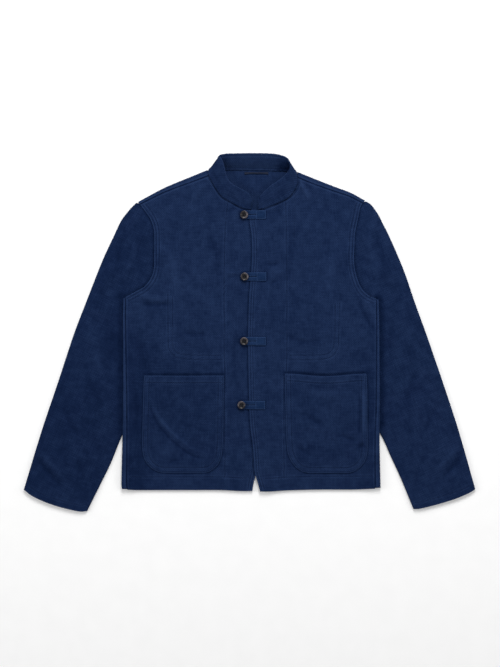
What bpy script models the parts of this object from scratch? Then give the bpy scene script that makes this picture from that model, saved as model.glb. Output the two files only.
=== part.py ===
"""A sashiko cotton jacket laid flat with its front up.

Lengths are in millimetres, +X is the wearer's left, +Y runs to the collar and +Z up from the floor. The whole
jacket is moved at the end, so that its box stands on the origin."""

import math

import bpy
import numpy as np

CLOTH = 1.6
SEAM_GAP = 0.3
SLEEVE_GAP = 0.7
FLOOR_Z = CLOTH / 2
STACK = CLOTH + SEAM_GAP
SLEEVE_PRESSED_Z = FLOOR_Z + STACK
SLEEVE_LOFT = 2.5
COVER_TOP_Y = 80.0
BACK_OVER_SLEEVE = 2 * STACK
FOLD_RADIUS = 2.2
FRONT_LOFT_MIDDLE = 3.1
FRONT_LOFT_EDGE = 2 * FOLD_RADIUS
LAP_RISE = STACK + 0.4
LAP_START_X = 60.0
LAP_FULL_X = 30.0
TRIM_GAP = 0.3
SIDE_ROWS = 14
ARMHOLE_ROWS = 9
SHOULDER_COLUMNS = 8
COLLAR_THICK = 3.0
BUTTON_RADIUS = 9.0
BUTTON_SHANK_RADIUS = 1.6
TAB_WIDTH = 17.6
TAB_SLOT = 1.8
TAB_SHANK_SLOT = 4.6

# x and y of each outline, in order along the edge. "right" is the wearer's right.
ARMHOLE = {
    "right": ((-235, 203), (-224, 188), (-211, 169), (-204, 148), (-203, 124), (-203, 92),
              (-204, 65), (-211, 44), (-224, 28), (-243, 17), (-264, 6)),
    "left": ((236, 206), (230, 195), (225, 172), (219, 143), (217, 113), (216, 88),
             (218, 65), (225, 39), (235, 20), (250, 8), (264, 3)),
}
SLEEVE_HIDDEN_HEAD = {
    "right": ((-204, 65), (-194, 36), (-180, 10), (-162, -13)),
    "left": ((218, 65), (206, 36), (187, 10), (162, -13)),
}
SLEEVE_OUTER = {
    "right": ((-241, 204), (-252, 193), (-262, 181), (-274, 164), (-290, 130), (-313, 80), (-346, -4),
              (-372, -72), (-405, -172), (-439, -273), (-477, -398)),
    "left": ((241, 207), (252, 200), (267, 180), (276, 162), (292, 130), (321, 62), (344, -5),
             (369, -74), (403, -173), (436, -274), (471, -397)),
}
SLEEVE_INNER = {
    "right": ((-162, -13), (-166, -63), (-191, -126), (-218, -185), (-246, -235), (-272, -288),
              (-294, -342), (-319, -393), (-344, -443)),
    "left": ((162, -13), (166, -63), (191, -126), (218, -185), (246, -235), (277, -292),
             (292, -326), (315, -376), (341, -439)),
}
CUFF = {
    "right": ((-477, -398), (-460, -411), (-435, -423), (-410, -432), (-384, -439), (-359, -444),
              (-344, -443)),
    "left": ((471, -397), (456, -406), (430, -417), (405, -425), (380, -432), (355, -438),
             (341, -439)),
}
SIDE_FOLD = {
    "right": ((-271, -397), (-272, -378), (-270, -294), (-269, -210), (-269, -126), (-269, -42), (-268, 4)),
    "left": ((272, -394), (271, -357), (270, -294), (271, -210), (270, -84), (269, -30), (268, 1)),
}
SHOULDER_FOLD = {
    "right": ((-91, 273), (-128, 258), (-183, 235), (-237, 206)),
    "left": ((97, 269), (132, 255), (178, 237), (210, 225), (239, 209)),
}
BACK_NECK = {
    "right": ((6, 273.5), (-25, 274.5), (-55, 274), (-76, 272.5), (-90.6, 270)),
    "left": ((6, 273.5), (30, 273), (61, 271.5), (82, 269.5), (97.4, 266)),
}
BACK_CENTRE = ((3, -364), (4, -100), (5, 120), (6, 273.5))
BACK_HEM = {
    "right": ((3, -364), (-70, -375), (-150, -389), (-220, -396), (-271, -397)),
    "left": ((3, -364), (76, -374), (156, -388), (225, -393), (272, -394)),
}
FRONT_EDGE = {
    "right": ((3, -401), (5, -386), (9, -371), (13, -345), (18, -290), (20, -210), (20, -60), (20, 60),
              (19, 190)),
    "left": ((19, -402), (14, -383), (10, -370), (7, -357), (4, -310), (-2, -260), (-4, -210), (-5, -168),
             (-6, -113), (-6, -59), (-4, 6), (-1, 42), (2, 92), (1, 136), (-3, 164), (-1, 178), (2, 190)),
}
FRONT_NECK = {
    "right": ((19, 190), (-1, 191), (-21, 195), (-40, 205), (-60, 217), (-72, 233), (-82, 250), (-89.5, 261)),
    "left": ((2, 190), (13, 189), (25, 192), (50, 201), (78, 215), (92, 229), (99, 244), (99, 256.5)),
}
FRONT_HEM = {
    "right": ((3, -401), (-23, -401), (-65, -399), (-128, -399), (-191, -399), (-240, -399), (-260, -398)),
    "left": ((19, -402), (40, -402), (82, -399.5), (145, -398), (208, -398), (240, -397), (261, -396)),
}
# How far each seam of the back lies from its fold, at the two ends of the seam.
SHOULDER_TURN = {"right": (12.5, 6.5), "left": (12.5, 7.0)}
NECK_CUT = {"right": (0.12, -0.99), "left": (0.16, -0.987)}
SIDE_TURN = {"right": (11.0, 5.0), "left": (11.0, 5.0)}

# x and y of both ends, height, width: soft folds of the body, a trough where the height is negative.
BODY_FOLDS = (
    ((-238, 14), (-150, 6), 0.7, 15.0),
    ((-150, -52), (-60, -64), 0.5, 26.0),
    ((60, -40), (170, -75), 0.5, 26.0),
    ((-190, 150), (-170, 40), 0.5, 20.0),
    ((196, 160), (176, 40), 0.5, 20.0),
    ((-90, 120), (-60, -30), -0.5, 28.0),
    ((100, 110), (84, -20), -0.5, 28.0),
)
SLEEVE_FOLDS = {
    "right": (
        ((-246, 150), (-300, 20), 0.7, 16.0),
        ((-330, -60), (-296, -130), 0.6, 15.0),
        ((-452, -330), (-396, -396), -0.9, 14.0),
        ((-426, -312), (-366, -374), 0.6, 16.0),
        ((-380, -190), (-330, -250), 0.5, 16.0),
    ),
    "left": (
        ((250, 160), (300, 20), 0.7, 16.0),
        ((336, -70), (300, -140), 0.6, 15.0),
        ((446, -330), (392, -386), -0.7, 14.0),
        ((420, -300), (372, -350), 0.6, 16.0),
        ((380, -180), (332, -240), 0.5, 16.0),
    ),
}

# y of each row of the pocket, then its left and right x there.
POCKET_OUTLINE = {
    "right": ((-158.5, -224, -57), (-172, -225, -57.2), (-205, -226, -57.5), (-245, -227, -58),
              (-285, -228, -58.5),
              (-312, -228, -60), (-326, -226, -61.5), (-338, -221.5, -65.5), (-348, -214, -71.5),
              (-356, -204.5, -80), (-361, -194, -89), (-362.7, -182, -101)),
    "left": ((-158.5, 71, 242), (-172, 71.5, 243), (-205, 72, 244), (-245, 73, 244), (-285, 74, 244.5),
             (-312, 75.5, 244.5), (-326, 78.5, 243), (-338, 84, 239), (-348, 91, 232),
             (-356, 100, 223), (-361, 110, 213), (-363.5, 121, 201)),
}
POCKET_COLUMNS = 11

# Seam point, free edge point, height of the seam and height of the free edge, round the neck.
COLLAR_STATIONS = (
    (0.5, 191.8, 3.0, 208.0, 5.2, 10.0),
    (-6, 192.0, -4, 222.0, 5.2, 12.0),
    (-21, 196.0, -17, 231.0, 5.2, 13.5),
    (-39.6, 205.9, -30, 238.0, 5.3, 15.0),
    (-59.4, 217.9, -44, 247.0, 5.4, 16.5),
    (-71.2, 233.5, -51, 260.0, 5.6, 18.0),
    (-81.1, 250.4, -55, 277.0, 5.8, 20.0),
    (-88.2, 264.5, -60, 293.0, 5.4, 21.5),
    (-86.5, 272.8, -65, 302.0, 3.6, 22.0),
    (-67, 273.9, -56, 305.5, 2.4, 22.0),
    (-44, 274.7, -38, 306.4, 2.2, 22.0),
    (6, 273.9, 2, 307.0, 2.2, 22.0),
    (55, 272.4, 40, 306.4, 2.2, 22.0),
    (76, 270.9, 60, 303.6, 2.4, 22.0),
    (92.9, 268.8, 73, 298.0, 3.6, 22.0),
    (96.0, 260.0, 80, 287.0, 5.8, 21.0),
    (96.4, 245.5, 80.5, 275.0, 6.0, 19.0),
    (89.6, 230.2, 70, 261.0, 5.8, 17.0),
    (77.2, 216.0, 56, 249.0, 5.6, 16.0),
    (59.5, 206.6, 43, 241.0, 5.9, 15.0),
    (38, 197.6, 32, 231.0, 6.9, 14.0),
    (24.6, 193.0, 21, 220.0, 7.6, 13.0),
    (14, 190.6, 15, 205.0, 7.7, 11.0),
)
COLLAR_LINES = 56
COLLAR_ROWS = 5

# Button x and y, front edge x there, and x of the tab's stitched end.
BUTTON_ROWS = (
    (-14.5, 179.0, -1.5, 31.0),
    (-13.5, 49.0, -0.5, 32.0),
    (-14.5, -86.5, -6.0, 31.0),
    (-20.0, -220.5, -3.5, 29.5),
)
HANGER_X = (-13.5, 36.5)
HANGER_Y = (258.5, 270.5)

COLOURS = {
    "sashiko": (0.012, 0.028, 0.085, 1.0),
    "tab": (0.014, 0.04, 0.11, 1.0),
    "horn": (0.07, 0.035, 0.02, 1.0),
    "tape": (0.012, 0.014, 0.022, 1.0),
}


def smoothstep(low, high, value):
    share = np.clip((np.asarray(value, float) - low) / (high - low), 0.0, 1.0)
    return share * share * (3 - 2 * share)


def curve_points(points, per_span=12):
    """A smooth line through the points, as many short spans."""
    knots = np.asarray(points, float)
    padded = np.vstack([2 * knots[0] - knots[1], knots, 2 * knots[-1] - knots[-2]])
    line = []
    for index in range(1, len(padded) - 2):
        before, start, end, after = padded[index - 1:index + 3]
        for step in range(per_span):
            t = step / per_span
            line.append(0.5 * (2 * start + (end - before) * t
                               + (2 * before - 5 * start + 4 * end - after) * t * t
                               + (3 * start - before - 3 * end + after) * t ** 3))
    line.append(knots[-1])
    return np.array(line)


def along(points, shares):
    """Points of the smooth line at shares of its length."""
    line = curve_points(points)
    length = np.concatenate([[0], np.cumsum(np.linalg.norm(np.diff(line, axis=0), axis=1))])
    at = np.asarray(shares, float) * length[-1]
    return np.stack([np.interp(at, length, line[:, axis]) for axis in range(line.shape[1])], axis=-1)


def patch(left, right, bottom, top, across, up):
    """The sheet of points between four edges, rows going up and columns across."""
    u = across[None, :, None]
    v = up[:, None, None]
    corners = ((1 - u) * (1 - v) * bottom[0] + u * (1 - v) * bottom[-1]
               + (1 - u) * v * top[0] + u * v * top[-1])
    return ((1 - u) * left[:, None] + u * right[:, None]
            + (1 - v) * bottom[None] + v * top[None] - corners)


def distance_to_line(line, x, y):
    start = line[:-1]
    span = line[1:] - start
    offset = np.stack([x, y], axis=-1)[..., None, :] - start
    share = np.clip((offset * span).sum(-1) / (span * span).sum(-1), 0, 1)
    return np.linalg.norm(offset - share[..., None] * span, axis=-1).min(axis=-1)


def distance_outside(polygon, x, y):
    """Distance to the polygon, and nought inside it."""
    corners = np.asarray(polygon, float)
    following = np.roll(corners, -1, axis=0)
    inside = np.zeros(np.shape(x), bool)
    for (x0, y0), (x1, y1) in zip(corners, following):
        if y0 != y1:
            crosses = (y0 > y) != (y1 > y)
            inside ^= crosses & (x < (x1 - x0) * (y - y0) / (y1 - y0) + x0)
    distance = distance_to_line(np.vstack([corners, corners[:1]]), x, y)
    return np.where(inside, 0.0, distance)


def fold_height(folds, x, y):
    """Soft ridges and troughs that fade out towards their ends."""
    height = np.zeros(np.shape(x))
    for start, end, rise, width in folds:
        start = np.array(start, float)
        span = np.array(end, float) - start
        share = ((x - start[0]) * span[0] + (y - start[1]) * span[1]) / (span @ span)
        aside = ((x - start[0]) * -span[1] + (y - start[1]) * span[0]) / math.hypot(*span)
        ends = np.exp(-np.square(np.clip(np.abs(share - 0.5) - 0.3, 0, None) / 0.2))
        height = height + rise * ends * np.exp(-np.square(aside / width))
    return height


def sign_of(side):
    return -1.0 if side == "right" else 1.0


def hidden_sleeve(side):
    """The outline of the part of the sleeve that lies under the body."""
    out = sign_of(side)
    start = SLEEVE_HIDDEN_HEAD[side][0]
    head = [(out * 420, start[1]), start] + list(SLEEVE_HIDDEN_HEAD[side][1:])
    return head + list(SLEEVE_INNER[side][1:]) + [(out * 520, -440)]


def body_cover(side):
    """The outline of the body where it lies over the sleeve."""
    armhole = ARMHOLE[side][6:]
    lower = tuple(reversed(SIDE_FOLD[side]))
    return ((0, COVER_TOP_Y), (armhole[0][0], COVER_TOP_Y)) + armhole + lower + ((0, -400),)


def back_height(side, x, y):
    outside = distance_outside(hidden_sleeve(side), x, y)
    return FLOOR_Z + BACK_OVER_SLEEVE * smoothstep(78, 24, outside) * smoothstep(140, 98, y)


def front_height(side, x, y):
    shoulder = distance_to_line(curve_points(SHOULDER_FOLD[side]), x, y)
    flank = distance_to_line(curve_points(SIDE_FOLD[side]), x, y)
    near_edge = smoothstep(55, 14, np.minimum(shoulder, flank))
    loft = FRONT_LOFT_MIDDLE + (FRONT_LOFT_EDGE - FRONT_LOFT_MIDDLE) * near_edge
    calm = smoothstep(14, 34, np.minimum(shoulder, flank))
    height = back_height(side, x, y) + loft + calm * fold_height(BODY_FOLDS, x, y)
    if side == "left":
        height = height + LAP_RISE * smoothstep(LAP_START_X, LAP_FULL_X, x)
    return height


def sleeve_height(side, x, y):
    outside = distance_outside(body_cover(side), x, y)
    free = smoothstep(20, 62, outside)
    outer = distance_to_line(curve_points(SLEEVE_OUTER[side]), x, y)
    inner = distance_to_line(curve_points(SLEEVE_INNER[side]), x, y)
    calm = smoothstep(4, 30, np.minimum(outer, inner))
    crown = 0.5 * calm + calm * fold_height(SLEEVE_FOLDS[side], x, y)
    return SLEEVE_PRESSED_Z + free * np.clip(SLEEVE_LOFT + crown, None, 3.6)


def face_normals(points, quads):
    corners = points[quads]
    return np.cross(corners[:, 2] - corners[:, 0], corners[:, 3] - corners[:, 1])


def thick_body(name, points, quads, thick, colour):
    """A closed solid round the quads of a middle surface, whose normals point to the outer face."""
    points = np.asarray(points, float)
    quads = np.asarray(quads, int)
    normals = np.zeros_like(points)
    for corner in range(4):
        np.add.at(normals, quads[:, corner], face_normals(points, quads))
    normals /= np.maximum(np.linalg.norm(normals, axis=1, keepdims=True), 1e-9)
    count = len(points)
    verts = np.vstack([points + normals * thick / 2, points - normals * thick / 2])
    faces = [tuple(quad) for quad in quads] + [tuple(quad[::-1] + count) for quad in quads]
    edges = {}
    for quad in quads:
        for start, end in zip(quad, np.roll(quad, -1)):
            edges[(int(start), int(end))] = True
    for start, end in edges:
        if (end, start) not in edges:
            faces.append((start + count, end + count, end, start))
    return make_object(name, verts, faces, colour)


def make_object(name, verts, faces, colour):
    used = sorted({index for face in faces for index in face})
    renumber = {old: new for new, old in enumerate(used)}
    mesh = bpy.data.meshes.new(name)
    mesh.from_pydata([tuple(verts[index] / 1000) for index in used], [],
                     [tuple(renumber[index] for index in face) for face in faces])
    mesh.polygons.foreach_set("use_smooth", [True] * len(mesh.polygons))
    mesh.update()
    made = bpy.data.objects.new(name, mesh)
    bpy.context.scene.collection.objects.link(made)
    mesh.materials.append(material(colour))
    return made


def material(colour):
    found = bpy.data.materials.get(colour)
    if found:
        return found
    made = bpy.data.materials.new(colour)
    made.use_nodes = True
    shader = made.node_tree.nodes["Principled BSDF"]
    shader.inputs["Base Color"].default_value = COLOURS[colour]
    shader.inputs["Roughness"].default_value = 0.4 if colour == "horn" else 0.9
    return made


def grid_quads(rows, columns, keep=None, flip=False):
    quads = []
    for row in range(rows - 1):
        for column in range(columns - 1):
            if keep is None or keep(row, column):
                first = row * columns + column
                quad = (first, first + 1, first + columns + 1, first + columns)
                quads.append(quad[::-1] if flip else quad)
    return quads


def body_levels():
    """Row shares up a body panel, with one row at the underarm."""
    underarm = 0.665
    low = np.linspace(0, underarm, SIDE_ROWS + 1)
    high = np.linspace(underarm, 1, ARMHOLE_ROWS + 1)[1:]
    return np.concatenate([low, high])


def edge_rows(side, flank):
    """The outer edge of a body panel: the side up to the underarm, then the armhole."""
    above = along(tuple(reversed(ARMHOLE[side])), np.linspace(0, 1, ARMHOLE_ROWS + 1))[1:]
    return np.vstack([flank, above])


def across_shares(neck_columns):
    neck_share = 0.4
    return np.concatenate([np.linspace(0, neck_share, neck_columns + 1),
                           np.linspace(neck_share, 1, SHOULDER_COLUMNS + 1)[1:]])


def inward_directions(line):
    """Unit directions square to the line, turned towards the middle of the body."""
    tangent = np.gradient(line, axis=0)
    square = np.stack([-tangent[:, 1], tangent[:, 0]], axis=-1)
    square /= np.linalg.norm(square, axis=1, keepdims=True)
    towards = np.array([0.0, -60.0]) - line
    turned = np.sign((square * towards).sum(axis=1, keepdims=True))
    return square * turned


def side_turn(side):
    """The side fold row by row: its points, the directions inwards and the width turned to the front."""
    shares = np.linspace(0, 1, SIDE_ROWS + 1)
    line = along(SIDE_FOLD[side], shares)
    start, end = SIDE_TURN[side]
    return line, inward_directions(line), start + (end - start) * shares


def shoulder_turn(side):
    """The shoulder fold column by column, as for the side. Its neck end is cut along the neck."""
    shares = np.linspace(0, 1, SHOULDER_COLUMNS + 1)
    line = along(SHOULDER_FOLD[side], shares)
    square = inward_directions(line)
    blend = smoothstep(0.0, 0.4, shares)[:, None]
    inward = np.array(NECK_CUT[side]) * (1 - blend) + square * blend
    inward /= np.linalg.norm(inward, axis=1, keepdims=True)
    start, end = SHOULDER_TURN[side]
    return line, inward, start + (end - start) * shares


def back_panel(side):
    neck = 5
    half_gap = np.array([sign_of(side) * SEAM_GAP / 2, 0.0])
    turn_in = FOLD_RADIUS + CLOTH / 2
    shoulder_fold, shoulder_in, shoulder_width = shoulder_turn(side)
    side_fold, side_in, side_width = side_turn(side)
    up = body_levels()
    across = across_shares(neck)
    top = np.vstack([along(BACK_NECK[side], np.linspace(0, 1, neck + 1))[:-1],
                     shoulder_fold + shoulder_in * turn_in])
    right = edge_rows(side, side_fold + side_in * turn_in)
    right[-1] = top[-1]
    left = along(BACK_CENTRE, up) + half_gap
    bottom = along(BACK_HEM[side], across)
    bottom[0] = left[0]
    bottom[-1] = right[0]
    top[0] = left[-1]
    flat = patch(left, right, bottom, top, across, up)
    middle = np.concatenate([flat, back_height(side, flat[..., 0], flat[..., 1])[..., None]], axis=-1)
    rows, columns = middle.shape[:2]
    angles = np.radians((45, 90, 135, 180))
    extra = len(angles) + 2
    points = np.zeros((rows + extra, columns + extra, 3))
    points[:rows, :columns] = middle
    for row in range(SIDE_ROWS + 1):
        points[row, columns:] = turned_over(middle[row, -1], side_fold[row], side_in[row],
                                            side_width[row], angles)
    for at in range(SHOULDER_COLUMNS + 1):
        points[rows:, neck + at] = turned_over(middle[-1, neck + at], shoulder_fold[at], shoulder_in[at],
                                               shoulder_width[at], angles)

    def keep(row, column):
        if column >= columns - 1:
            return row < SIDE_ROWS
        if row >= rows - 1:
            return column >= neck
        return True

    total_rows, total_columns = points.shape[:2]
    quads = grid_quads(total_rows, total_columns, keep, flip=side == "left")
    return thick_body("back_" + side, points.reshape(-1, 3), quads, CLOTH, "sashiko")


def turned_over(start, fold, inward, width, angles):
    """Points from the panel round its fold and along the turned strip to the seam."""
    points = []
    for angle in angles:
        reach = CLOTH / 2 + FOLD_RADIUS * (1 - math.sin(angle))
        points.append([*(fold + inward * reach), start[2] + FOLD_RADIUS * (1 - math.cos(angle))])
    begin = CLOTH / 2 + FOLD_RADIUS
    for share in (0.5, 1.0):
        reach = begin + (width - begin) * share
        points.append([*(fold + inward * reach), start[2] + 2 * FOLD_RADIUS])
    return points


def front_grid(side, neck):
    up = body_levels()
    across = across_shares(neck)
    shoulder_fold, shoulder_in, shoulder_width = shoulder_turn(side)
    side_fold, side_in, side_width = side_turn(side)
    shoulder = shoulder_fold + shoulder_in * (shoulder_width + SEAM_GAP)[:, None]
    top = np.vstack([along(FRONT_NECK[side], np.linspace(0, 1, neck + 1))[:-1], shoulder])
    right = edge_rows(side, side_fold + side_in * (side_width + SEAM_GAP)[:, None])
    right[-1] = top[-1]
    left = along(FRONT_EDGE[side], up)
    bottom = along(FRONT_HEM[side], across)
    bottom[0] = left[0]
    bottom[-1] = right[0]
    top[0] = left[-1]
    return patch(left, right, bottom, top, across, up)


def front_panel(side):
    flat = front_grid(side, 7)
    height = front_height(side, flat[..., 0], flat[..., 1])
    points = np.concatenate([flat, height[..., None]], axis=-1)
    quads = grid_quads(*points.shape[:2], flip=side == "right")
    return thick_body("front_" + side, points.reshape(-1, 3), quads, CLOTH, "sashiko")


def sleeve_head(side):
    """The sleeve's upper edge, with the armhole's own points in it, and each point's share of its length."""
    seam = along(ARMHOLE[side], np.linspace(0, 1, ARMHOLE_ROWS + 1))
    seam[:, 0] += sign_of(side) * SLEEVE_GAP
    turning_y = SLEEVE_HIDDEN_HEAD[side][0][1]
    beside = seam[1:][seam[1:, 1] > turning_y + 8]
    hidden = along(SLEEVE_HIDDEN_HEAD[side], np.linspace(0, 1, 6))[1:]
    head = np.vstack([SLEEVE_OUTER[side][0], beside, hidden])
    length = np.concatenate([[0], np.cumsum(np.linalg.norm(np.diff(head, axis=0), axis=1))])
    return head, length / length[-1]


def sleeve_rings(side, rings):
    """Rings of middle points round the flattened sleeve, from the head to the cuff."""
    head, across = sleeve_head(side)
    down = np.linspace(0, 1, rings)
    cuff = along(CUFF[side], across)
    lines = patch(along(SLEEVE_OUTER[side], down), along(SLEEVE_INNER[side], down), head, cuff, across, down)
    arcs = np.radians((0, 45, 90, 135, 180))
    made = []
    for line in lines:
        length = np.concatenate([[0], np.cumsum(np.linalg.norm(np.diff(line, axis=0), axis=1))])
        width = length[-1]
        edge = np.array([line[0], line[-1]])
        radius = (sleeve_height(side, edge[:, 0], edge[:, 1]) - FLOOR_Z) / 2
        first = CLOTH / 2 + radius[0]
        last = width - CLOTH / 2 - radius[1]
        reach = [first - radius[0] * math.sin(angle) for angle in arcs]
        z = [FLOOR_Z + radius[0] * (1 - math.cos(angle)) for angle in arcs]
        inner = line[1:-1]
        reach += list(np.clip(length[1:-1], first + 2.0, last - 2.0))
        z += list(sleeve_height(side, inner[:, 0], inner[:, 1]))
        reach += [last + radius[1] * math.sin(angle) for angle in arcs[::-1]]
        z += [FLOOR_Z + radius[1] * (1 - math.cos(angle)) for angle in arcs[::-1]]
        beneath = length[-3:1:-2]
        reach += list(beneath)
        z += [FLOOR_Z] * len(beneath)
        made.append(np.stack([np.interp(reach, length, line[:, 0]), np.interp(reach, length, line[:, 1]), z],
                             axis=-1))
    return np.array(made)


def sleeve(side):
    points = sleeve_rings(side, 15)
    rows, around = points.shape[:2]
    quads = []
    for row in range(rows - 1):
        for column in range(around):
            after = (column + 1) % around
            quad = (row * around + column, row * around + after,
                    (row + 1) * around + after, (row + 1) * around + column)
            quads.append(quad[::-1] if side == "right" else quad)
    return thick_body("sleeve_" + side, points.reshape(-1, 3), quads, CLOTH, "sashiko")


def pocket(side):
    table = np.array(POCKET_OUTLINE[side], float)
    u = np.linspace(0, 1, POCKET_COLUMNS)
    x = table[:, 1, None] + (table[:, 2] - table[:, 1])[:, None] * u
    y = np.repeat(table[:, :1], POCKET_COLUMNS, axis=1)
    sag = 2.2 if side == "left" else 0.8
    mouth = smoothstep(-200, -158, y) * np.sin(math.pi * u) ** 2
    y = y - sag * 0.5 * mouth
    z = front_height(side, x, y) + STACK + TRIM_GAP + 0.6 * sag * mouth
    quads = grid_quads(*x.shape, flip=True)
    return thick_body("pocket_" + side, np.stack([x, y, z], axis=-1).reshape(-1, 3), quads, CLOTH, "sashiko")


def collar():
    stations = along(COLLAR_STATIONS, np.linspace(0, 1, COLLAR_LINES))
    seam = stations[:, [0, 1, 4]]
    free = stations[:, [2, 3, 5]]
    v = np.linspace(0, 1, COLLAR_ROWS)
    points = seam[None] + (free - seam)[None] * v[:, None, None]
    points[..., 2] += 1.2 * np.sin(math.pi * v)[:, None]
    quads = grid_quads(COLLAR_ROWS, COLLAR_LINES)
    return thick_body("collar", points.reshape(-1, 3), quads, COLLAR_THICK, "sashiko")


def hanger_loop():
    lengths = np.linspace(HANGER_X[0], HANGER_X[1], 9)
    widths = np.linspace(HANGER_Y[0], HANGER_Y[1], 3)
    x, y = np.meshgrid(lengths, widths)
    share = (x - HANGER_X[0]) / (HANGER_X[1] - HANGER_X[0])
    z = FLOOR_Z + STACK + 1.2 * np.sin(math.pi * share) ** 2
    return thick_body("hanger_loop", np.stack([x, y, z], axis=-1).reshape(-1, 3),
                      grid_quads(3, 9), CLOTH, "tape")


def button(index, x, y):
    segments = 20
    base = float(front_height("right", np.array(x), np.array(y))) + CLOTH / 2 + TRIM_GAP
    # Radius and height above the cloth, from the foot of the shank to the middle of the face.
    profile = ((BUTTON_SHANK_RADIUS, SEAM_GAP), (BUTTON_SHANK_RADIUS, 3.6), (4.5, 3.8), (7.4, 4.4),
               (8.6, 5.0), (BUTTON_RADIUS, 5.6), (8.7, 6.2), (7.9, 6.6), (7.0, 6.5), (6.0, 6.1))
    verts = [(x, y, base + SEAM_GAP)]
    for radius, rise in profile:
        for step in range(segments):
            angle = 2 * math.pi * step / segments
            verts.append((x + radius * math.cos(angle), y + radius * math.sin(angle), base + rise))
    verts.append((x, y, base + profile[-1][1]))
    last = len(verts) - 1
    faces = []
    for step in range(segments):
        after = (step + 1) % segments
        faces.append((0, 1 + after, 1 + step))
        for ring in range(len(profile) - 1):
            low = 1 + ring * segments
            faces.append((low + step, low + after, low + segments + after, low + segments + step))
        top = 1 + (len(profile) - 1) * segments
        faces.append((top + step, top + after, last))
    return make_object(f"button_{index}", np.array(verts), faces, "horn")


def tab(index, x, y, edge, end):
    """Two strips round the shank of a button, joined at its far side and at the stitched end."""
    loop_end = x - 7.6
    stitched = end - 21.0
    half = TAB_WIDTH / 2
    lengths = np.array([loop_end, loop_end + 1.8, x - 3.2, x, x + 3.2, edge - 3.0, edge + 0.5,
                        (edge + stitched) / 2 + 1.0, stitched, end - 10.5, end])
    lengths = np.sort(lengths)
    rows = np.array([-half, -half * 0.55, 0.0, 0.0, half * 0.55, half])
    under = float(front_height("right", np.array(x), np.array(y))) + STACK + TRIM_GAP
    points = np.zeros((len(rows), len(lengths), 3))
    for column, at in enumerate(lengths):
        slot = TAB_SLOT / 2 + (TAB_SHANK_SLOT - TAB_SLOT) / 2 * float(np.exp(-((at - x) / 3.6) ** 2))
        ys = rows.copy()
        ys[2], ys[3] = -slot, slot
        if at <= loop_end:
            ys = ys * 0.78
        over = float(front_height("left", np.array(max(at, edge + 0.5)), np.array(y))) + STACK + TRIM_GAP
        rise = float(smoothstep(edge - 8.5, edge - 0.5, at))
        level = under + (over - under) * rise
        points[:, column] = np.stack([np.full(len(rows), at), y + ys, np.full(len(rows), level)], axis=-1)
    first_slot = 1
    last_slot = int(np.searchsorted(lengths, stitched))

    def keep(row, column):
        return row != 2 or column < first_slot or column >= last_slot

    quads = grid_quads(len(rows), len(lengths), keep)
    return thick_body(f"tab_{index}", points.reshape(-1, 3), quads, CLOTH, "tab")


def centre_on_origin(objects):
    """Moves all together, so that their box is centred on the origin and stands on it."""
    corners = np.array([tuple(vertex.co) for made in objects for vertex in made.data.vertices])
    low = corners.min(axis=0)
    high = corners.max(axis=0)
    shift = np.array([(low[0] + high[0]) / 2, (low[1] + high[1]) / 2, low[2]])
    for made in objects:
        for vertex in made.data.vertices:
            vertex.co = tuple(np.array(vertex.co) - shift)
    print("shift mm", np.round(shift * 1000, 3), "size mm", np.round((high - low) * 1000, 2))


def main():
    for old in list(bpy.data.objects):
        bpy.data.objects.remove(old, do_unlink=True)
    objects = []
    for side in ("right", "left"):
        objects += [back_panel(side), front_panel(side), sleeve(side), pocket(side)]
    objects += [collar(), hanger_loop()]
    for index, (x, y, edge, end) in enumerate(BUTTON_ROWS, start=1):
        objects += [button(index, x, y), tab(index, x, y, edge, end)]
    centre_on_origin(objects)


main()
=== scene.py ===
"""The looks of a sashiko cotton jacket laid flat, seen from straight above.

Lengths in the tables are millimetres on the jacket's own plan: +X is the wearer's left, +Y runs to the collar
and +Z up from the floor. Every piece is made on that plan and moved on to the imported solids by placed()."""

import math

import bpy
import numpy as np
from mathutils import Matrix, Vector


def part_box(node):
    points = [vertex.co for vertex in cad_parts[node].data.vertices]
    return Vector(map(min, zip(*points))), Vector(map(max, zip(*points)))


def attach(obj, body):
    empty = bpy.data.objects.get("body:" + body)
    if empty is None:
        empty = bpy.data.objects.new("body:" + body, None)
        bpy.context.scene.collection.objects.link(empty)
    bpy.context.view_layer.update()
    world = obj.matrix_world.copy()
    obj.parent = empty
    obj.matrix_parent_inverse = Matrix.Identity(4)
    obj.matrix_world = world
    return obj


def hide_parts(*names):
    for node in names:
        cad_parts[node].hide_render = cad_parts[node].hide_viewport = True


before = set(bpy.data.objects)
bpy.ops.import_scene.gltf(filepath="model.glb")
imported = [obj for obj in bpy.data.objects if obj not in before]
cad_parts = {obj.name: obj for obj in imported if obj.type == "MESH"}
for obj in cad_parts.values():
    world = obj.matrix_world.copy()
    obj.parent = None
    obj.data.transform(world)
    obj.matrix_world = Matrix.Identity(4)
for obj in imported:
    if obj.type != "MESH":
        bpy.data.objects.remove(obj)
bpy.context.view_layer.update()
COARSE = 1.0

# The stack of cloth, as in the solids.
CLOTH = 1.6
SEAM_GAP = 0.3
SLEEVE_GAP = 0.7
FLOOR_Z = CLOTH / 2
STACK = CLOTH + SEAM_GAP
SLEEVE_PRESSED_Z = FLOOR_Z + STACK
SLEEVE_LOFT = 2.5
COVER_TOP_Y = 80.0
BACK_OVER_SLEEVE = 2 * STACK
FOLD_RADIUS = 2.2
FRONT_LOFT_MIDDLE = 3.1
FRONT_LOFT_EDGE = 2 * FOLD_RADIUS
LAP_RISE = STACK + 0.4
LAP_START_X = 60.0
LAP_FULL_X = 30.0
TRIM_GAP = 0.3
COLLAR_THICK = 3.0
TAB_WIDTH = 17.6

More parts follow.
